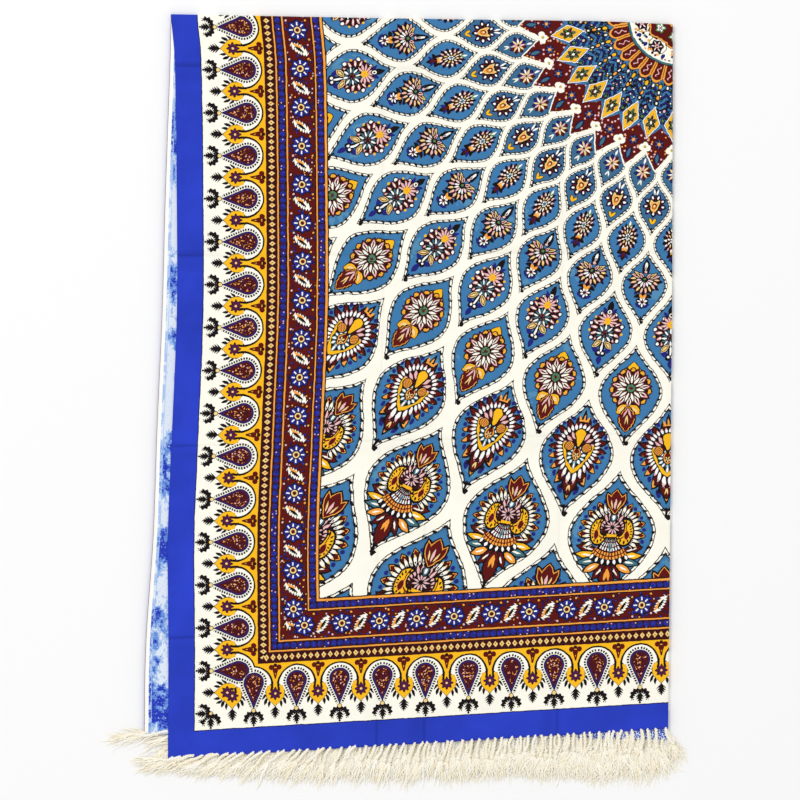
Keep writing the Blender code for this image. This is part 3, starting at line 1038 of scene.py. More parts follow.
def print_diamonds(sheet, across, r, grain):
    """The star's diamonds, each with a dark flower in it."""
    reach = across * 1.95 + size(r - STAR_DIAMONDS)
    sheet.under(reach, black=25.4, white=24.2, maroon=21.6, yellow=20.6)
    sheet.under(reach, maroon=13.6, peach=12.8)
    low = (r - STAR_DIAMONDS) * 0.7
    flower, flower_turn = length(across, low), angle(across, low)
    leaves = petals(flower, flower_turn, 6, 0.4, 8.0, 2.3)
    sheet.over(leaves, black=0)
    sheet.over(leaves, grain < 0.48, green=0.9)
    sheet.over(leaves, grain > 0.56, maroon=0.9)
    sheet.under(flower, white=1.5)


def print_tongues(sheet, over_half, across, from_half, r):
    """The tongues round the disc, and the lines at the disc's edge."""
    tongue = from_half * from_half * 0.115 + r
    sheet.under(tongue, black=99.8, orange=98.8)
    sheet.under(tongue, across < 0.5, maroon=97.0)
    sheet.under(tongue, from_half < scaled(r, 0.068, 0.05), black=95.4)
    sheet.under(tongue, from_half < scaled(r, 0.068, -0.6), maroon=94.6)
    scroll = size(over_half - sine(r * 0.72) * 1.7)
    sheet.under(scroll, within(r, 83.0, 8.0), pink=0.75)
    sheet.under(r, black=71.2, teal=70.2, cream=67.2)


def print_disc(sheet, sector, r, near, pick):
    """The disc's sprigs and its maroon cartouches, four of each."""
    turn = wrap(sector - 2.9, 2.0) * SECTOR
    sprig_x, sprig_y = size(sine(turn) * r), cosine(turn) * r
    stem = size(sprig_x - 9.0 - sine(sprig_y * 0.16) * 4.0)
    sheet.under(stem, within(r, 46.0, 18.0), green=0.6)
    marks = {"black": 0.40, "maroon": 0.62, "orange": 0.78, "teal": 0.90}
    sheet.over(pick, (r < 65.0) & (near < 1.9), **marks)
    sheet.under(spot(sprig_x, sprig_y, 9.5, 40.0, 1.5), dark=3.6)
    sheet.under(spot(sprig_x, sprig_y, 15.0, 58.0, 1.4), navy=3.6)
    sheet.under(spot(sprig_x, sprig_y, 7.0, 61.0, 0.8), orange=1.6)
    bud, bud_turn = polar(sprig_x, sprig_y, 51.0)
    sheet.under(bud, black=10.0 - fold(bud_turn, math.pi / 6) * 4.0)
    sheet.over(petals(bud, bud_turn, 6, 1.5, 9.0, 1.9), maroon=0)
    sheet.over(petals(bud, bud_turn, 6, 3.0, 8.0, 0.7), white=0)
    sheet.under(bud, pink=2.8, maroon=1.4)
    turn = wrap(sector - 4.9, 2.0) * SECTOR
    side, up = size(sine(turn) * r), cosine(turn) * r - 29.0
    lobe = length(side * 0.95, up) + fold(angle(side, up), math.pi / 5) * 5.0
    sheet.under(lobe, black=17.6, orange=17.0)
    sheet.under(lobe, black=15.2, maroon=14.6, dark=8.6, green=7.6, white=5.4)
    sheet.under(lobe, maroon=3.4)


def print_medallion(sector, r, grain, near, pick):
    """The middle of the cloth: a cream disc, a ring of tongues, small flowers on blue, and a
    star of maroon with yellow diamonds and cream knobs. Distances are in millimetres, across
    from the middle of a diamond and from_half from half way between two."""
    half = fold(sector, 0.5)
    across = half * r * SECTOR
    from_half = (0.5 - half) * r * SECTOR
    over_half = wrap(sector - 0.5, 0.5) * r * SECTOR
    sheet = Sheet("maroon", from_half, r)
    print_star(sheet, from_half, r, near, pick)
    print_blue_ring(sheet, sector, across, from_half, r, grain, near, pick)
    print_diamonds(sheet, across, r, grain)
    print_tongues(sheet, over_half, across, from_half, r)
    print_disc(sheet, sector, r, near, pick)
    sheet.over(r, cream=star_edge(sector))
    knob = less(spot(across, r, 4.2, 190.5), spot(across, r, 0.0, 186.5) + 0.6)
    sheet.under(knob, cream=4.4)
    sheet.under(spot(across, r, 0.0, 191.0), cream=5.2)
    sheet.under(spot(across, r, 0.0, 189.6), green=1.9, yellow=1.2)
    return [sheet.ink]


def profile(at, rows):
    """A smooth curve through a few points, given as place and height, from 0 to 1."""
    node = add_node(at.socket.node.id_data, "ShaderNodeFloatCurve", None, at)
    curve = node.mapping.curves[0]
    curve.points[0].location = rows[0]
    curve.points[1].location = rows[-1]
    for row in rows[1:-1]:
        curve.points.new(*row)
    node.mapping.update()
    return Num(node.outputs[0])


def print_palmette(sheet, across, up, body):
    """The palmette between two drops: a star, a trefoil, leaflets below and a feathered spike."""
    sheet.under(across, up < 64.0, black=body)
    sheet.under(across, up < 65.0, yellow=body - 0.9)
    star, star_turn = polar(across, up, 45.4)
    sheet.over(petals(star, star_turn, 8, 0.6, 9.0, 2.0), black=-0.5, maroon=0.2, navy=1.3)
    sheet.under(star, peach=1.6)
    sheet.under(less(spot(across, up, 0.0, 77.2), spot(across, up, 5.2, 81.8)), maroon=3.7)
    sheet.under(size(across - (up - 66.0) * 0.22), within(up, 72.0, 6.0), maroon=1.0)
    sheet.under(spot(across, up, 0.0, 84.4), dark=2.6)
    from_tip = math.pi - star_turn
    leaf = scaled(star, 1 / 4.9, -16.7 / 4.9)
    leaflet = scaled(leaf * leaf, -2.4, 2.4) > fold(from_tip - 0.62 + star * 0.03, 0.2) * star
    sheet.over(across, leaflet & within(from_tip, 1.22, 0.8), black=body - 0.9)
    spike = lens(across, up, (0, 30.5), (0, 9.5), 7.8)
    sheet.over(spike, black=fold(up + across * 0.9, 1.9) * 2.4 + 0.4)
    sheet.under(across, within(up, 20.0, 8.5), black=0.8)


def print_paisleys(depth, along, grain, near, pick, worn):
    """The royal-blue band and the row of drops under arches, with palmettes between them."""
    up = depth - BAND_END
    side = fold(along, PAISLEY_PITCH / 2)
    from_palmette = PAISLEY_PITCH / 2 - side
    sheet = Sheet("cream", side, up)
    from_drop, around = polar(side, up, DROP_CENTRE)
    arch = scaled(around * around, 1.15, ARCH_RADIUS)
    sheet.over(from_drop, up > SPANDRELS_START, yellow=arch)
    height = scaled(up, 1 / PALMETTE_HEIGHT, -PALMETTE_FOOT / PALMETTE_HEIGHT)
    body = profile(height, PALMETTE) * PALMETTE_HALF_WIDTH
    print_palmette(sheet, from_palmette, up, body)

    # The drop, its ring of dashes and the dark arch over it
    slant = math.asin(DROP_RADIUS / (DROP_CENTRE - DROP_POINT))
    from_point = up - DROP_POINT
    beside = side * math.cos(slant) - from_point * math.sin(slant)
    run = side * math.sin(slant) + from_point * math.cos(slant)
    reach = (DROP_CENTRE - DROP_POINT) * math.cos(slant)
    on_side = run < reach
    outside = choose(on_side, from_drop - DROP_RADIUS, beside)
    round_end = (math.pi / 2 + slant - around) * DASH_RADIUS + reach
    dash_run = choose(on_side, round_end, run)
    sheet.under(outside, (up > 26.0) & (from_drop < arch), cream=6.6)
    thick = (from_drop < arch + scaled(around * around, 0.30, 2.2)) & (around < 1.98)
    sheet.over(from_drop, thick, black=arch)
    sheet.under(spot(side, up, 24.6, 56.2), from_palmette > body, black=2.6)
    dash = within(outside, 3.5, 1.55) & (run > 0.5)
    sheet.under(fold(dash_run, 1.75), dash, black=1.1)
    sheet.under(outside, black=1.0, navy=0, plum=-1.2, dark=-3.0)
    inner = outside < -3.2
    sheet.over(grain, inner, maroon=0.52)
    sheet.under(grain, inner, plum=0.40)
    sheet.over(grain, inner & (pick > 0.3), orange=0.60)
    sheet.under(near, inner & (pick > 0.6), pink=0.9)
    sheet.under(fold(dash_run, 1.6), within(outside, -2.2, 0.5), maroon=0.8)

    # The feathery spray below the drop, and the bead at the drop's point
    wing, wing_turn = polar(side + 2.5, up, 6.5)
    notched = fold(wing_turn, 0.13) * 22.0 + 9.8
    wing_top, top_turn = polar(side - 3.4, up, 12.2)
    frilled = 11.4 - fold(top_turn + 0.1, 0.30) * 8.0
    tip = up > fold(side, 1.5) * 2.4 + 4.8
    sheet.under(wing_top, (wing > notched) & (side > 0.5) & tip, black=frilled)
    sheet.leaf((0, 21.5), (0, 0.2), 6.6, black=fold(up + side * 0.9, 1.9) * 2.0 + 0.3)
    sheet.under(side, within(up, 11.0, 9.5), black=0.9)
    sheet.dot(0, 23.4, black=3.4, peach=2.5)
    sheet.under(depth, black=BAND_END + 0.9, navy=BAND_END + 0.3, royal=BAND_END - 0.6)
    sheet.under(grain, (depth < 16.0) & (worn > 0.0), haze=0.50, mist=0.45)
    return [sheet.ink]


def print_leaf_row(sheet, up, over):
    """A jagged cream leaf that slants between two of the main stripe's rosettes."""
    lie, off = up * 0.83 + over * 0.56, over * 0.83 - up * 0.56
    blade = scaled(lie * lie, -3.7 / 190, 3.7)
    jagged = fold(lie - off * 0.8, 2.2) * 1.3
    sheet.under(size(off), size(lie) < 14.4, black=blade + jagged + 0.9)
    sheet.under(size(off), size(lie) < 13.6, cream=blade + jagged)
    sheet.under(size(off + 1.9), (lie < 1.0) & (size(lie) < 12.0), orange=blade * 0.6)
    sheet.under(size(off), black=scaled(lie * lie, -0.03, 1.8))
    sheet.under(fold(lie, 1.6), (size(off - 1.2) < 1.6) & (size(lie) < 7.0), black=0.6)


def print_stripes(depth, along, grain, near, pick, by_side):
    """The border's inner stripes, with diamonds, beads, and rosettes among leaves."""
    sheet = Sheet("black")
    sheet.under(depth, orange=LINE_4_END, black=BEADS_2_END)
    sheet.under(depth, orange=LINE_3_END, black=LINE_3_END - 1.7, maroon=MAIN_END - 0.6)
    sheet.under(depth, black=LINE_2_END, orange=LINE_2_END - 0.4)
    sheet.under(depth, black=BEADS_1_END, orange=LINE_1_END, dark=DIAMONDS_END)
    diamond = fold(along, 4.4) * 1.30 + size(depth - DIAMOND_ROW)
    diamonds = depth < DIAMONDS_END
    sheet.under(diamond, diamonds, black=5.6, orange=4.5)
    sheet.under(diamond, diamonds & (grain < 0.56), peach=4.5)
    sheet.under(diamond, diamonds, dark=1.2)
    sheet.under(depth, dark=PAISLEY_END + 1.6)
    bead_row = choose(depth > MAIN_END, *BEAD_ROWS)
    bead = length(fold(along, 4.6), depth - bead_row)
    row = (depth > LINE_1_END) & (size(depth - bead_row) < 4.8)
    sheet.over(bead, row & (grain < 0.48), maroon=4.6)
    sheet.under(bead, row, navy=4.3)
    sheet.under(bead, row & (grain < 0.46), royal=3.2)
    sheet.under(near, row & (pick > 0.74), maroon=1.1)
    sheet.under(near, row & (pick > 0.86), pink=0.9)

    pitch, first = (choose(by_side, END_ROSETTES[i], SIDE_ROSETTES[i]) for i in (0, 1))
    place = (along - first) / pitch
    main = within(depth, (LINE_2_END + MAIN_END) / 2, (MAIN_END - LINE_2_END) / 2 - 0.8)
    sheet.under(near, main & (pick > 0.60), black=2.0)
    sheet.over(pick, main & (near < 1.1), navy=0.60, royal=0.78, pink=0.88, orange=0.95)
    up = depth - ROSETTE_ROW
    r, turn = polar(wrap(place, 0.5) * pitch, up)
    petal = fold(turn, math.pi / 8)
    sheet.under(r, main, black=15.6 - petal * 8.0, navy=14.2 - petal * 9.0)
    sheet.under(r, main & (grain < 0.45) & (r > 10.0), royal=14.2 - petal * 9.0)
    sheet.under(r * petal, within(r, 8.9, 2.3), white=0.9)
    sheet.under(r, black=5.6, peach=4.6, maroon=2.7)
    over = wrap(place - 0.5, 0.5) * pitch
    print_leaf_row(sheet, up, over)
    corner = length(fold(place + 0.25, 0.25) * pitch, size(up + over * 0.12) - 13.4)
    sheet.under(corner, black=2.6, pink=1.5)
    sheet.under(corner, up > 0.0, orange=1.5)
    return [sheet.ink]


# ---------------------------------------------------------------- materials


def new_tree(name):
    material = bpy.data.materials.new(name)
    material.use_nodes = True
    tree = material.node_tree
    tree.nodes.clear()
    return material, tree


def add_principled(tree, colour, roughness, specular, normal=None):
    named = {"Base Color": colour, "Roughness": roughness, "Specular IOR Level": specular}
    return add_node(tree, "ShaderNodeBsdfPrincipled", named={**named, "Normal": normal})


def add_bump(tree, height, strength, distance):
    named = {"Height": height, "Strength": strength, "Distance": distance}
    return add_node(tree, "ShaderNodeBump", named=named).outputs[0]


def show(tree, shader):
    """Makes a shader the material's surface."""
    add_node(tree, "ShaderNodeOutputMaterial", shader.outputs[0])


def weave_bump(tree, vector):
    """Plain weave: two sets of threads, uneven in thickness."""
    named = {"Vector": vector, "Scale": 0.55, "Distortion": 0.6, "Detail": 1.0}
    threads = [
        Num(add_node(tree, "ShaderNodeTexWave", named=named, bands_direction=way).outputs["Fac"])
        for way in ("X", "Y")
    ]
    return add_bump(tree, threads[0] + threads[1], 0.25, 0.0002)


def cotton_leaf(tree, ink, tone, bump):
    """A Principled shader in the print's inks, over the shared tone and weave."""
    named = {"Vector": ink_colour(tree, ink), "Scale": tone}
    tinted = add_node(tree, "ShaderNodeVectorMath", named=named, operation="SCALE")
    return add_principled(tree, tinted.outputs[0], 0.9, 0.2, bump)


def either_shader(tree, where, inside, outside):
    return add_node(tree, "ShaderNodeMixShader", where, outside.outputs[0], inside.outputs[0])


def printed_field(tree, dyed, lattice, r, theta, grain, patch):
    """The net and the cells' flowers, where each ring of cells has its own."""
    ring, cell_ring, x, y, inside = lattice
    places = {"r": r, "ring": ring, "cell_ring": cell_ring, "x": x, "y": y, "inside": inside}
    fine = {"grain": grain, "patch": patch}
    ground = use_group(tree, "cell_ground", print_ground, **places, **fine)[0]
    field = None
    for number, row in reversed(list(enumerate(FLOWERS, 1))):
        cell = {"x": x, "y": y, "grain": grain, "ground": ground}
        shown = dyed(use_group(tree, row[0].__name__, fitted(*row), **cell)[0])
        field = either_shader(tree, cell_ring < number + 0.5, shown, field) if field else shown
    return either_shader(tree, cell_ring < 0.5, dyed(ground), field)


def printed_cotton():
    """The cloth's face. The print wanders a little from its plan, as hand printing does."""
    material, tree = new_tree("printed_cotton")
    plan = attribute(tree, "plan_mm")
    broad = first_two(tree, noise_node(tree, plan, 0.045, 2.0).outputs["Color"])
    shiver = first_two(tree, noise_node(tree, plan, 0.20, 1.0).outputs["Color"])
    wander = [broad[i] * 3.0 + scaled(shiver[i], 2.0, -2.5) for i in (0, 1)]
    x, y = first_two(tree, plan)
    x, y = x + wander[0], y + wander[1]
    side, end = first_two(tree, attribute(tree, "hem_mm"))
    along_side, along_end = first_two(tree, attribute(tree, "run_mm"))
    by_side = side < end
    depth = less(side, end) + wander[0] * 0.5
    along = choose(by_side, along_end, along_side) + wander[1] * 0.5
    r, theta = polar(x, y)

    blotch = noise_value(tree, plan, 0.02, 4.0, 0.6)
    streak = noise_value(tree, plan, 0.009, 3.0, 0.6)
    grain = noise_value(tree, plan, 0.42, 1.0)
    # Painted shade along the creases, partly wear in the pressed lines: it darkens the tone, less
    # in the plain band
    crease_wear_and_shade = Num(attribute(tree, "crease_wear_and_shade", "Fac"))
    crease_shade_factor = 1.0 - crease_wear_and_shade * choose(depth < BAND_END, 0.07, 0.30)
    tone = scaled(blotch, 0.16, 0.92) * crease_shade_factor
    tone = tone * choose(depth < BAND_END, 1.0, scaled(streak, 0.9, 0.62))
    bump = weave_bump(tree, plan)

    def dyed(ink):
        return cotton_leaf(tree, ink, tone, bump)

    near, pick = scattered(tree, plan, SPECK_SPACING)
    titles = ("ring", "cell_ring", "cell_x", "cell_y", "inside")
    lattice = use_group(tree, "lattice", field_places, titles, r=r, theta=theta)
    field = printed_field(tree, dyed, lattice, r, theta, grain, blotch)
    sector = scaled(theta, 1 / SECTOR, -MEDALLION_TURN / SECTOR)
    fine = {"grain": grain, "near": near, "pick": pick}
    star = use_group(tree, "medallion", print_medallion, sector=sector, r=r, **fine)[0]
    middle = either_shader(tree, r < star_edge(sector) + 3.0, dyed(star), field)
    strip = {"depth": depth, "along": along, **fine}
    paisleys = use_group(tree, "paisleys", print_paisleys, **strip, worn=y < 0.0)[0]
    stripes = use_group(tree, "stripes", print_stripes, **strip, by_side=by_side)[0]
    border = either_shader(tree, depth > PAISLEY_END, dyed(stripes), dyed(paisleys))
    show(tree, either_shader(tree, depth < BORDER_END, border, middle))
    return material


def reverse_cotton():
    """The back of the cloth: pale, with the dye of the plain band come through in patches, and a
    painted shadow along its side edges.
    """
    material, tree = new_tree("cotton_reverse")
    plan = attribute(tree, "plan_mm")
    side, end = first_two(tree, attribute(tree, "hem_mm"))
    depth = less(side, end)
    shorter = (1.0, 0.45, 1.0)
    tall = add_node(tree, "ShaderNodeVectorMath", plan, shorter, operation="MULTIPLY").outputs[0]
    broad = noise_value(tree, tall, 0.022, 2.0)
    patch = noise_value(tree, tall, 0.10, 3.0, 0.62)
    fleck = noise_value(tree, tall, 0.55, 2.0, 0.6)
    soaked = scaled(patch, 1.9, fleck * 0.55) + scaled(broad, 2.2, -2.50)
    for middle, half, strength in REVERSE_STAINS:
        tent = more(scaled(size(end - middle), -1 / half, 1.0), 0.0)
        soaked = scaled(tent, strength, soaked)
    in_band = (depth < BAND_END - 2.0) & (side > HEM_TURN * 600)
    sheet = Sheet("white")
    sheet.over(fleck, cream=0.62)
    sheet.stamp(in_band, "mist")
    sheet.over(soaked, in_band, haze=-0.16, sky=-0.02, royal=0.14)
    sheet.over(fleck, in_band, haze=0.64, mist=0.69)
    sheet.over(patch, depth > BAND_END, mist=0.60)
    sheet.over(patch, (side < HEM_TURN * 1000) & in_band, haze=0.52)
    sheet.under(fold(end, 1.5), within(side, HEM_TURN * 1000, 0.5), haze=1.0)
    # A painted shadow along the cloth's side edge
    sheet.under(side, umber=0.7)
    show(tree, cotton_leaf(tree, sheet.ink, scaled(broad, 0.1, 0.95), weave_bump(tree, plan)))
    return material


def yarn_material():
    """Undyed cotton yarn, lighter or darker by the strand."""
    material, tree = new_tree("cotton_yarn")
    shade = Num(attribute(tree, "shade", "Fac"))
    place = tree.nodes.new("ShaderNodeTexCoord").outputs["Object"]
    fluff = noise_value(tree, place, 900.0, 2.0)
    ramp = add_node(tree, "ShaderNodeValToRGB", scaled(fluff, 0.5, shade - 0.25))
    for element, colour in zip(ramp.color_ramp.elements, YARN_COLOURS):
        element.color = linear(colour)
    bump = add_bump(tree, fluff, 0.5, 0.0004)
    show(tree, add_principled(tree, ramp.outputs[0], 0.95, 0.15, bump))
    return material


# ---------------------------------------------------------------- the cloth


def grid_lines(half, radius, steps, creases):
    """Places for the sheet's grid lines from one hem to the other. They are close on the side
    that shows and wider on the side folded under, with extra lines at the pressed creases and
    at the turned hem."""
    quarter = radius * math.pi / 2
    run = half - quarter
    marks = {0.0, run - HEM_TURN, run - HEM_TURN - HEM_STEP, run}
    for at, _ in creases:
        marks.update(at * run + side * PRESS_HALF_WIDTH / 2 for side in (-2, -1, 0, 1, 2))
    marks = sorted(marks)

    def lines(step):
        places = []
        for low, high in zip(marks, marks[1:]):
            parts = math.ceil((high - low) / step)
            places += [quarter + mix(low, high, i / parts) for i in range(parts)]
        return places + [half]

    bent = [mix(-quarter, quarter, i / steps) for i in range(1, steps)]
    return [-place for place in reversed(lines(FINE_STEP))] + bent + lines(COARSE_STEP)


def hem_thickness(u):
    """The side hems are turned under once and stitched, so the back is lower there."""
    from_hem = WIDTH / 2 - abs(u)
    return HEM_THICKNESS * (1 - smooth_step((from_hem - HEM_TURN) / HEM_STEP))


def crease_wear_and_painted_shade(v, u):
    """How much painted shade darkens a point of the flat cloth at the creases, from 0 to 1: the
    pressed line, partly wear too, and the shaded side beside each soft crease.
    """
    down, left = abs(v) / (LENGTH / 2), abs(u) / (WIDTH / 2)
    sharp = crease(down, pressed(CREASES_ACROSS), LENGTH / 2, PRESS_HALF_WIDTH)
    sharp += crease(left, pressed(CREASES_ALONG), WIDTH / 2, PRESS_HALF_WIDTH)
    soft = crease(down - SHADE_ASIDE[0], CREASES_ACROSS, LENGTH / 2, CREASE_HALF_WIDTH)
    soft += crease(left - SHADE_ASIDE[1], CREASES_ALONG, WIDTH / 2, CREASE_HALF_WIDTH)
    return sharp / PRESS_DEPTH + CREASE_SHADE * abs(soft)


def make_cloth():
    """The sheet: a printed face and a back face over one grid, joined round the four hems."""
    across = grid_lines(WIDTH / 2, SIDE_RADIUS, SIDE_STEPS, CREASES_ALONG)
    along = grid_lines(LENGTH / 2, TOP_RADIUS, TOP_STEPS, CREASES_ACROSS)
    rows, columns = len(along), len(across)
    points = []
    places = []
    for back in (False, True):
        for v in along:
            for u in across:
                w = -THICK / 2 - hem_thickness(u) * 0.5 if back else THICK / 2
                points.append(folded(u, v, w))
                places.append(print_place(u, v))

    def number(back, row, column):
        return back * rows * columns + row * columns + column

    faces = []
    for back in (False, True):
        for r in range(rows - 1):
            for c in range(columns - 1):
                face = [number(back, r, c), number(back, r, c + 1)]
                face += [number(back, r + 1, c + 1), number(back, r + 1, c)]
                faces.append(face[::-1] if back else face)
    backs = len(faces) // 2
    rim = [(0, c) for c in range(columns)]
    rim += [(r, columns - 1) for r in range(1, rows)]
    rim += [(rows - 1, c) for c in reversed(range(columns - 1))]
    rim += [(r, 0) for r in reversed(range(1, rows - 1))]
    for (r0, c0), (r1, c1) in zip(rim, rim[1:] + rim[:1]):
        faces.append([number(0, r1, c1), number(0, r0, c0), number(1, r0, c0), number(1, r1, c1)])

    shift = cloth_shift(points)
    mesh = bpy.data.meshes.new("tablecloth")
    mesh.from_pydata([point + shift for point in points], [], faces)
    mesh.materials.append(printed_cotton())
    mesh.materials.append(reverse_cotton())
    for i, polygon in enumerate(mesh.polygons):
        polygon.material_index = 1 if backs <= i < 2 * backs else 0
        polygon.use_smooth = True
    # Painted crease shade, partly wear, kept on the points for the face's material
    shades = [crease_wear_and_painted_shade(v, u) for v in along for u in across] * 2
    mesh.attributes.new("crease_wear_and_shade", "FLOAT", "POINT").data.foreach_set("value", shades)
    for column, name in enumerate(("hem_mm", "run_mm", "plan_mm")):
        store = mesh.attributes.new(name, "FLOAT_VECTOR", "POINT")
        store.data.foreach_set("vector", [part for place in places for part in place[column]])
    return add_object("tablecloth", mesh), shift


def cloth_shift(points):
    """From the cloth's drawing to the frame: the middle of its solid's box, and its base."""
    low, high = (Vector(corner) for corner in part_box("cloth"))
    mine = [[pick(point[i] for point in points) for i in range(3)] for pick in (min, max)]
    middle = [(mine[0][i] + mine[1][i]) / 2 for i in (0, 1)]
    return Vector(((low.x + high.x) / 2 - middle[0], (low.y + high.y) / 2 - middle[1], low.z))


# ---------------------------------------------------------------- the fringe


class Strands:
    """Collects tubes of yarn for one joined mesh, with a shade for each point."""

    def __init__(self):
        self.points, self.faces, self.shades, self.smooth = [], [], [], []

    def add_tube(self, path, radii, sides, shade, flatness=1.0):
        """A tube along a path of points, closed at both ends. A flatter one lies on its side."""
        first = len(self.points)
        ahead = path[1] - path[0]
        across = ahead.orthogonal().normalized()
        for i, (here, radius) in enumerate(zip(path, radii)):
            ahead = (path[min(i + 1, len(path) - 1)] - path[max(i - 1, 0)]).normalized()
            if flatness < 1:
                across = Vector((-ahead.y, ahead.x, 0.0)).normalized()
            across = (across - ahead * across.dot(ahead)).normalized()
            beside = ahead.cross(across)
            for k in range(sides):
                turn = math.pi / 2 + 2 * math.pi * k / sides
                away = across * math.cos(turn) + beside * math.sin(turn) * flatness
                self.points.append(here + away * radius)
        for i in range(len(path) - 1):
            for k in range(sides):
                a, b = first + i * sides + k, first + i * sides + (k + 1) % sides
                self.faces.append((a, b, b + sides, a + sides))
        last = first + (len(path) - 1) * sides
        self.faces.append(tuple(first + k for k in reversed(range(sides))))
        self.faces.append(tuple(last + k for k in range(sides)))
        self.smooth += [flatness == 1] * (len(self.faces) - len(self.smooth))
        self.shades += [shade] * (sides * len(path))

    def make(self, name, material):
        mesh = bpy.data.meshes.new(name)
        mesh.from_pydata(self.points, [], self.faces)
        mesh.polygons.foreach_set("use_smooth", self.smooth)
        mesh.attributes.new("shade", "FLOAT", "POINT").data.foreach_set("value", self.shades)
        mesh.materials.append(material)
        return add_object(name, mesh)


def heading(lean):
    """The level direction that leans left of straight down by an angle."""
    return Vector((-math.sin(lean), -math.cos(lean), 0.0))


def curve_through(start, pull, end, steps):
    """Points on a smooth arc from start to end, drawn towards pull."""
    path = []
    for i in range(steps + 1):
        t = i / steps
        path.append(start * (1 - t) ** 2 + pull * 2 * t * (1 - t) + end * t * t)
    return path


def add_cord(strands, path, ceiling, rng):
    """Two plies twisted about a path, pressed between the floor and a ceiling."""
    shade = rng.uniform(*CORD_SHADES)
    start = rng.uniform(0, 2 * math.pi)
    for ply in (0, math.pi):
        twisted = []
        for i, here in enumerate(path):
            ahead = (path[min(i + 1, len(path) - 1)] - path[max(i - 1, 0)]).normalized()
            side = Vector((ahead.y, -ahead.x, 0.0)).normalized()
            up = ahead.cross(side)
            turn = start + ply + 2 * math.pi * i / CORD_TWIST_STEPS
            away = side * math.cos(turn) + up * math.sin(turn)
            point = here + away * PLY_RADIUS * 0.75
            point.z = min(max(point.z, PLY_RADIUS), ceiling - PRESSED_RADIUS)
            twisted.append(point)
        strands.add_tube(twisted, [PLY_RADIUS] * len(path), 5, shade)


def add_knot(strands, at, ahead, ceiling, rng):
    """A few turns of yarn round the end of a cord."""
    side = Vector((ahead.y, -ahead.x, 0.0)).normalized()
    up = ahead.cross(side)
    path = []
    for i in range(KNOT_STEPS + 1):
        t = i / KNOT_STEPS
        turn = 2 * math.pi * KNOT_TURNS * t
        away = side * math.cos(turn) * 1.25 + up * math.sin(turn) * 0.8
        point = at + away * KNOT_RADIUS + ahead * (t - 0.5) * KNOT_LENGTH
        point.z = min(max(point.z, PLY_RADIUS), ceiling - PRESSED_RADIUS)
        path.append(point)
    strands.add_tube(path, [PLY_RADIUS * 1.1] * len(path), 5, rng.uniform(*KNOT_SHADES))


def add_tuft(strands, root, knot, lean, rest, shape, rng):
    """The unravelled yarns below a knot, wavy and spread on the floor. Most leave the knot, and
    some leave the cord above it."""
    longest, widest, curliest = shape
    for _ in range(YARNS_PER_TUFT):
        aim = lean + rng.uniform(-1, 1) * widest + rng.gauss(0, 0.10)
        curl = rng.uniform(-1, 1) * curliest
        wave, phase = rng.uniform(*YARN_WAVE_HEIGHTS), rng.uniform(0, 2 * math.pi)
        waves = rng.uniform(*YARN_WAVES)
        reach = longest * rng.uniform(*YARN_LENGTHS)
        radius = rng.uniform(*YARN_RADII)
        floor = rest + rng.random() ** 1.5 * TUFT_HEIGHT
        here = Vector(knot)
        if rng.random() < LOOSE_SHARE:
            here = mix(root, knot, rng.uniform(*LOOSE_FROM))
            here.z = max(min(here.z, floor) - 0.0012, radius)
        first_height = here.z
        path = [Vector(here)]
        for i in range(1, YARN_STEPS + 1):
            t = i / YARN_STEPS
            ahead = heading(aim + curl * t)
            here = here + ahead * reach / YARN_STEPS
            side = Vector((ahead.y, -ahead.x, 0.0))
            swing = wave * math.sin(phase + 2 * math.pi * waves * t) * min(1.0, 3 * t)
            point = here + side * swing
            point.z = max(mix(first_height, floor, smooth_step(t * 1.4)), radius)
            path.append(point)
        radii = [radius * (1 - 0.75 * (i / YARN_STEPS) ** 3) for i in range(YARN_STEPS + 1)]
        strands.add_tube(path, radii, 3, rng.uniform(0.0, 1.0), YARN_FLATNESS)


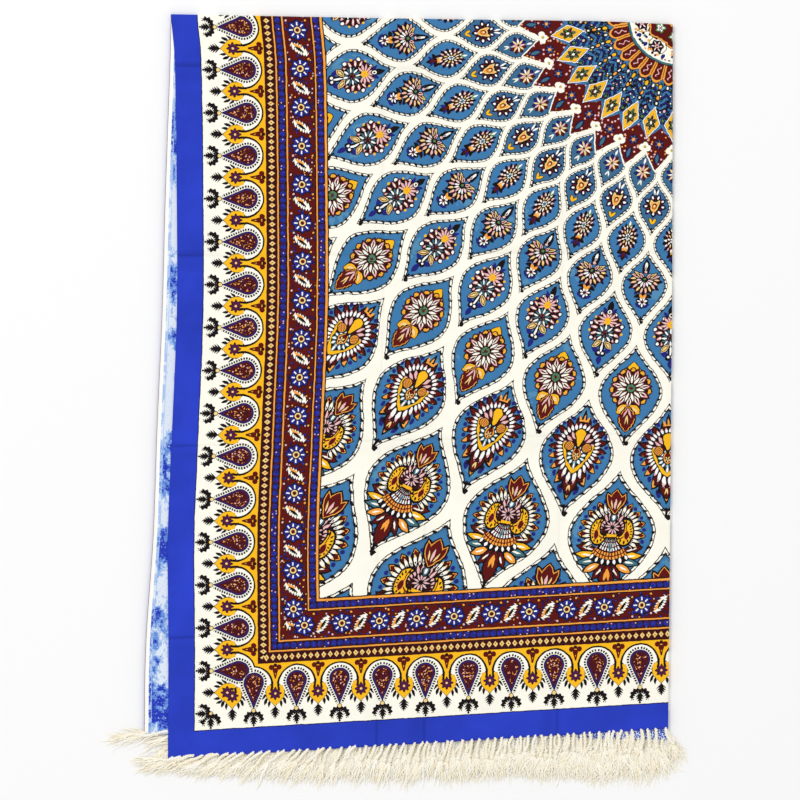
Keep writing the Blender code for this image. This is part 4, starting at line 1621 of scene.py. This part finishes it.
def make_fringe(name, end, layers, shift, material):
    """One end's fringe. end is -1 or 1 along the cloth's length, and layers names the layer
    left of the cloth's middle and the one right of it."""
    rng = random.Random(name)
    strands = Strands()
    pitch = WIDTH / 2 / CORDS_PER_LAYER
    for number in range(2 * CORDS_PER_LAYER):
        u = -WIDTH / 2 + pitch * (number + 0.5 + rng.uniform(-1, 1) * CORD_JITTER)
        layer = layers[0] if u < 0 else layers[1]
        left = abs(u) / (WIDTH / 2)
        lean = math.radians(read_table(LOCK_LEAN, left, 1 + "ABCD".index(layer)))
        lean += rng.uniform(-1, 1) * LOCK_SWAY
        cord_length, *shape = (read_table(LOCK_SHAPE, left, c) for c in (1, 2, 3, 4))
        down = heading(lean)
        rest = LOCK_REST[layer]
        root = folded(u, end * (LENGTH / 2 - ROOT_INSIDE), 0.0) + shift
        covered = layer != "A"
        ceiling = max(root.z + COVERED_HEADROOM, 2 * PLY_RADIUS) if covered else 1.0
        knot = root + down * cord_length * rng.uniform(*CORD_LENGTHS)
        knot.z = max(mix(root.z, rest + 0.002, 0.75), KNOT_RADIUS + PLY_RADIUS)
        pull = root + heading(lean + rng.uniform(-0.6, 0.6)) * cord_length * 0.55
        pull.z = root.z + (0.0 if covered else 0.0012)
        add_cord(strands, curve_through(root, pull, knot, CORD_STEPS), ceiling, rng)
        add_knot(strands, knot, down, ceiling, rng)
        add_tuft(strands, root, knot + down * KNOT_LENGTH * 0.3, lean, rest, shape, rng)
    return strands.make(name, material)


# ---------------------------------------------------------------- stage


def make_floor():
    mesh = bpy.data.meshes.new("floor")
    mesh.from_pydata([(-6, -6, 0), (6, -6, 0), (6, 6, 0), (-6, 6, 0)], [], [(0, 1, 2, 3)])
    material, tree = new_tree("floor")
    show(tree, add_principled(tree, linear(FLOOR_COLOUR), 0.9, 0.5))
    mesh.materials.append(material)
    floor = add_object("floor", mesh)
    floor.location.z = -FLOOR_GAP
    return floor


def make_light():
    """Even light from all round, with a soft key light from behind the cloth's left corner."""
    world = bpy.data.worlds.new("studio")
    world.use_nodes = True
    background = world.node_tree.nodes["Background"]
    background.inputs["Color"].default_value = (1.0, 1.0, 1.0, 1.0)
    background.inputs["Strength"].default_value = STUDIO_LIGHT
    bpy.context.scene.world = world
    lamp = bpy.data.lights.new("key", "AREA")
    lamp.size = KEY_WIDTH
    lamp.energy = KEY_POWER
    key = add_object("key", lamp)
    key.location = KEY_PLACE
    key.rotation_euler = (-Vector(KEY_PLACE)).to_track_quat("-Z", "Y").to_euler()


def make_camera(shift):
    data = bpy.data.cameras.new("camera")
    data.sensor_width = SENSOR
    data.lens = SENSOR * VIEW_HEIGHT / VIEW_WIDTH
    camera = add_object("camera", data)
    camera.location = (VIEW_CENTRE[0] + shift.x, VIEW_CENTRE[1] + shift.y, VIEW_HEIGHT)
    bpy.context.scene.camera = camera


def main():
    cloth, shift = make_cloth()
    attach(cloth, "root")
    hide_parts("cloth")
    yarn = yarn_material()
    for name, end, layers in (("fringe_upper", -1, "AB"), ("fringe_lower", 1, "DC")):
        fringe = make_fringe(name + "_yarns", end, layers, shift, yarn)
        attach(fringe, "root")
        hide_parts(name)
    floor = make_floor()
    make_camera(shift)
    make_light()
    bpy.context.scene.view_settings.view_transform = "Standard"
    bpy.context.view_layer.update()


main()
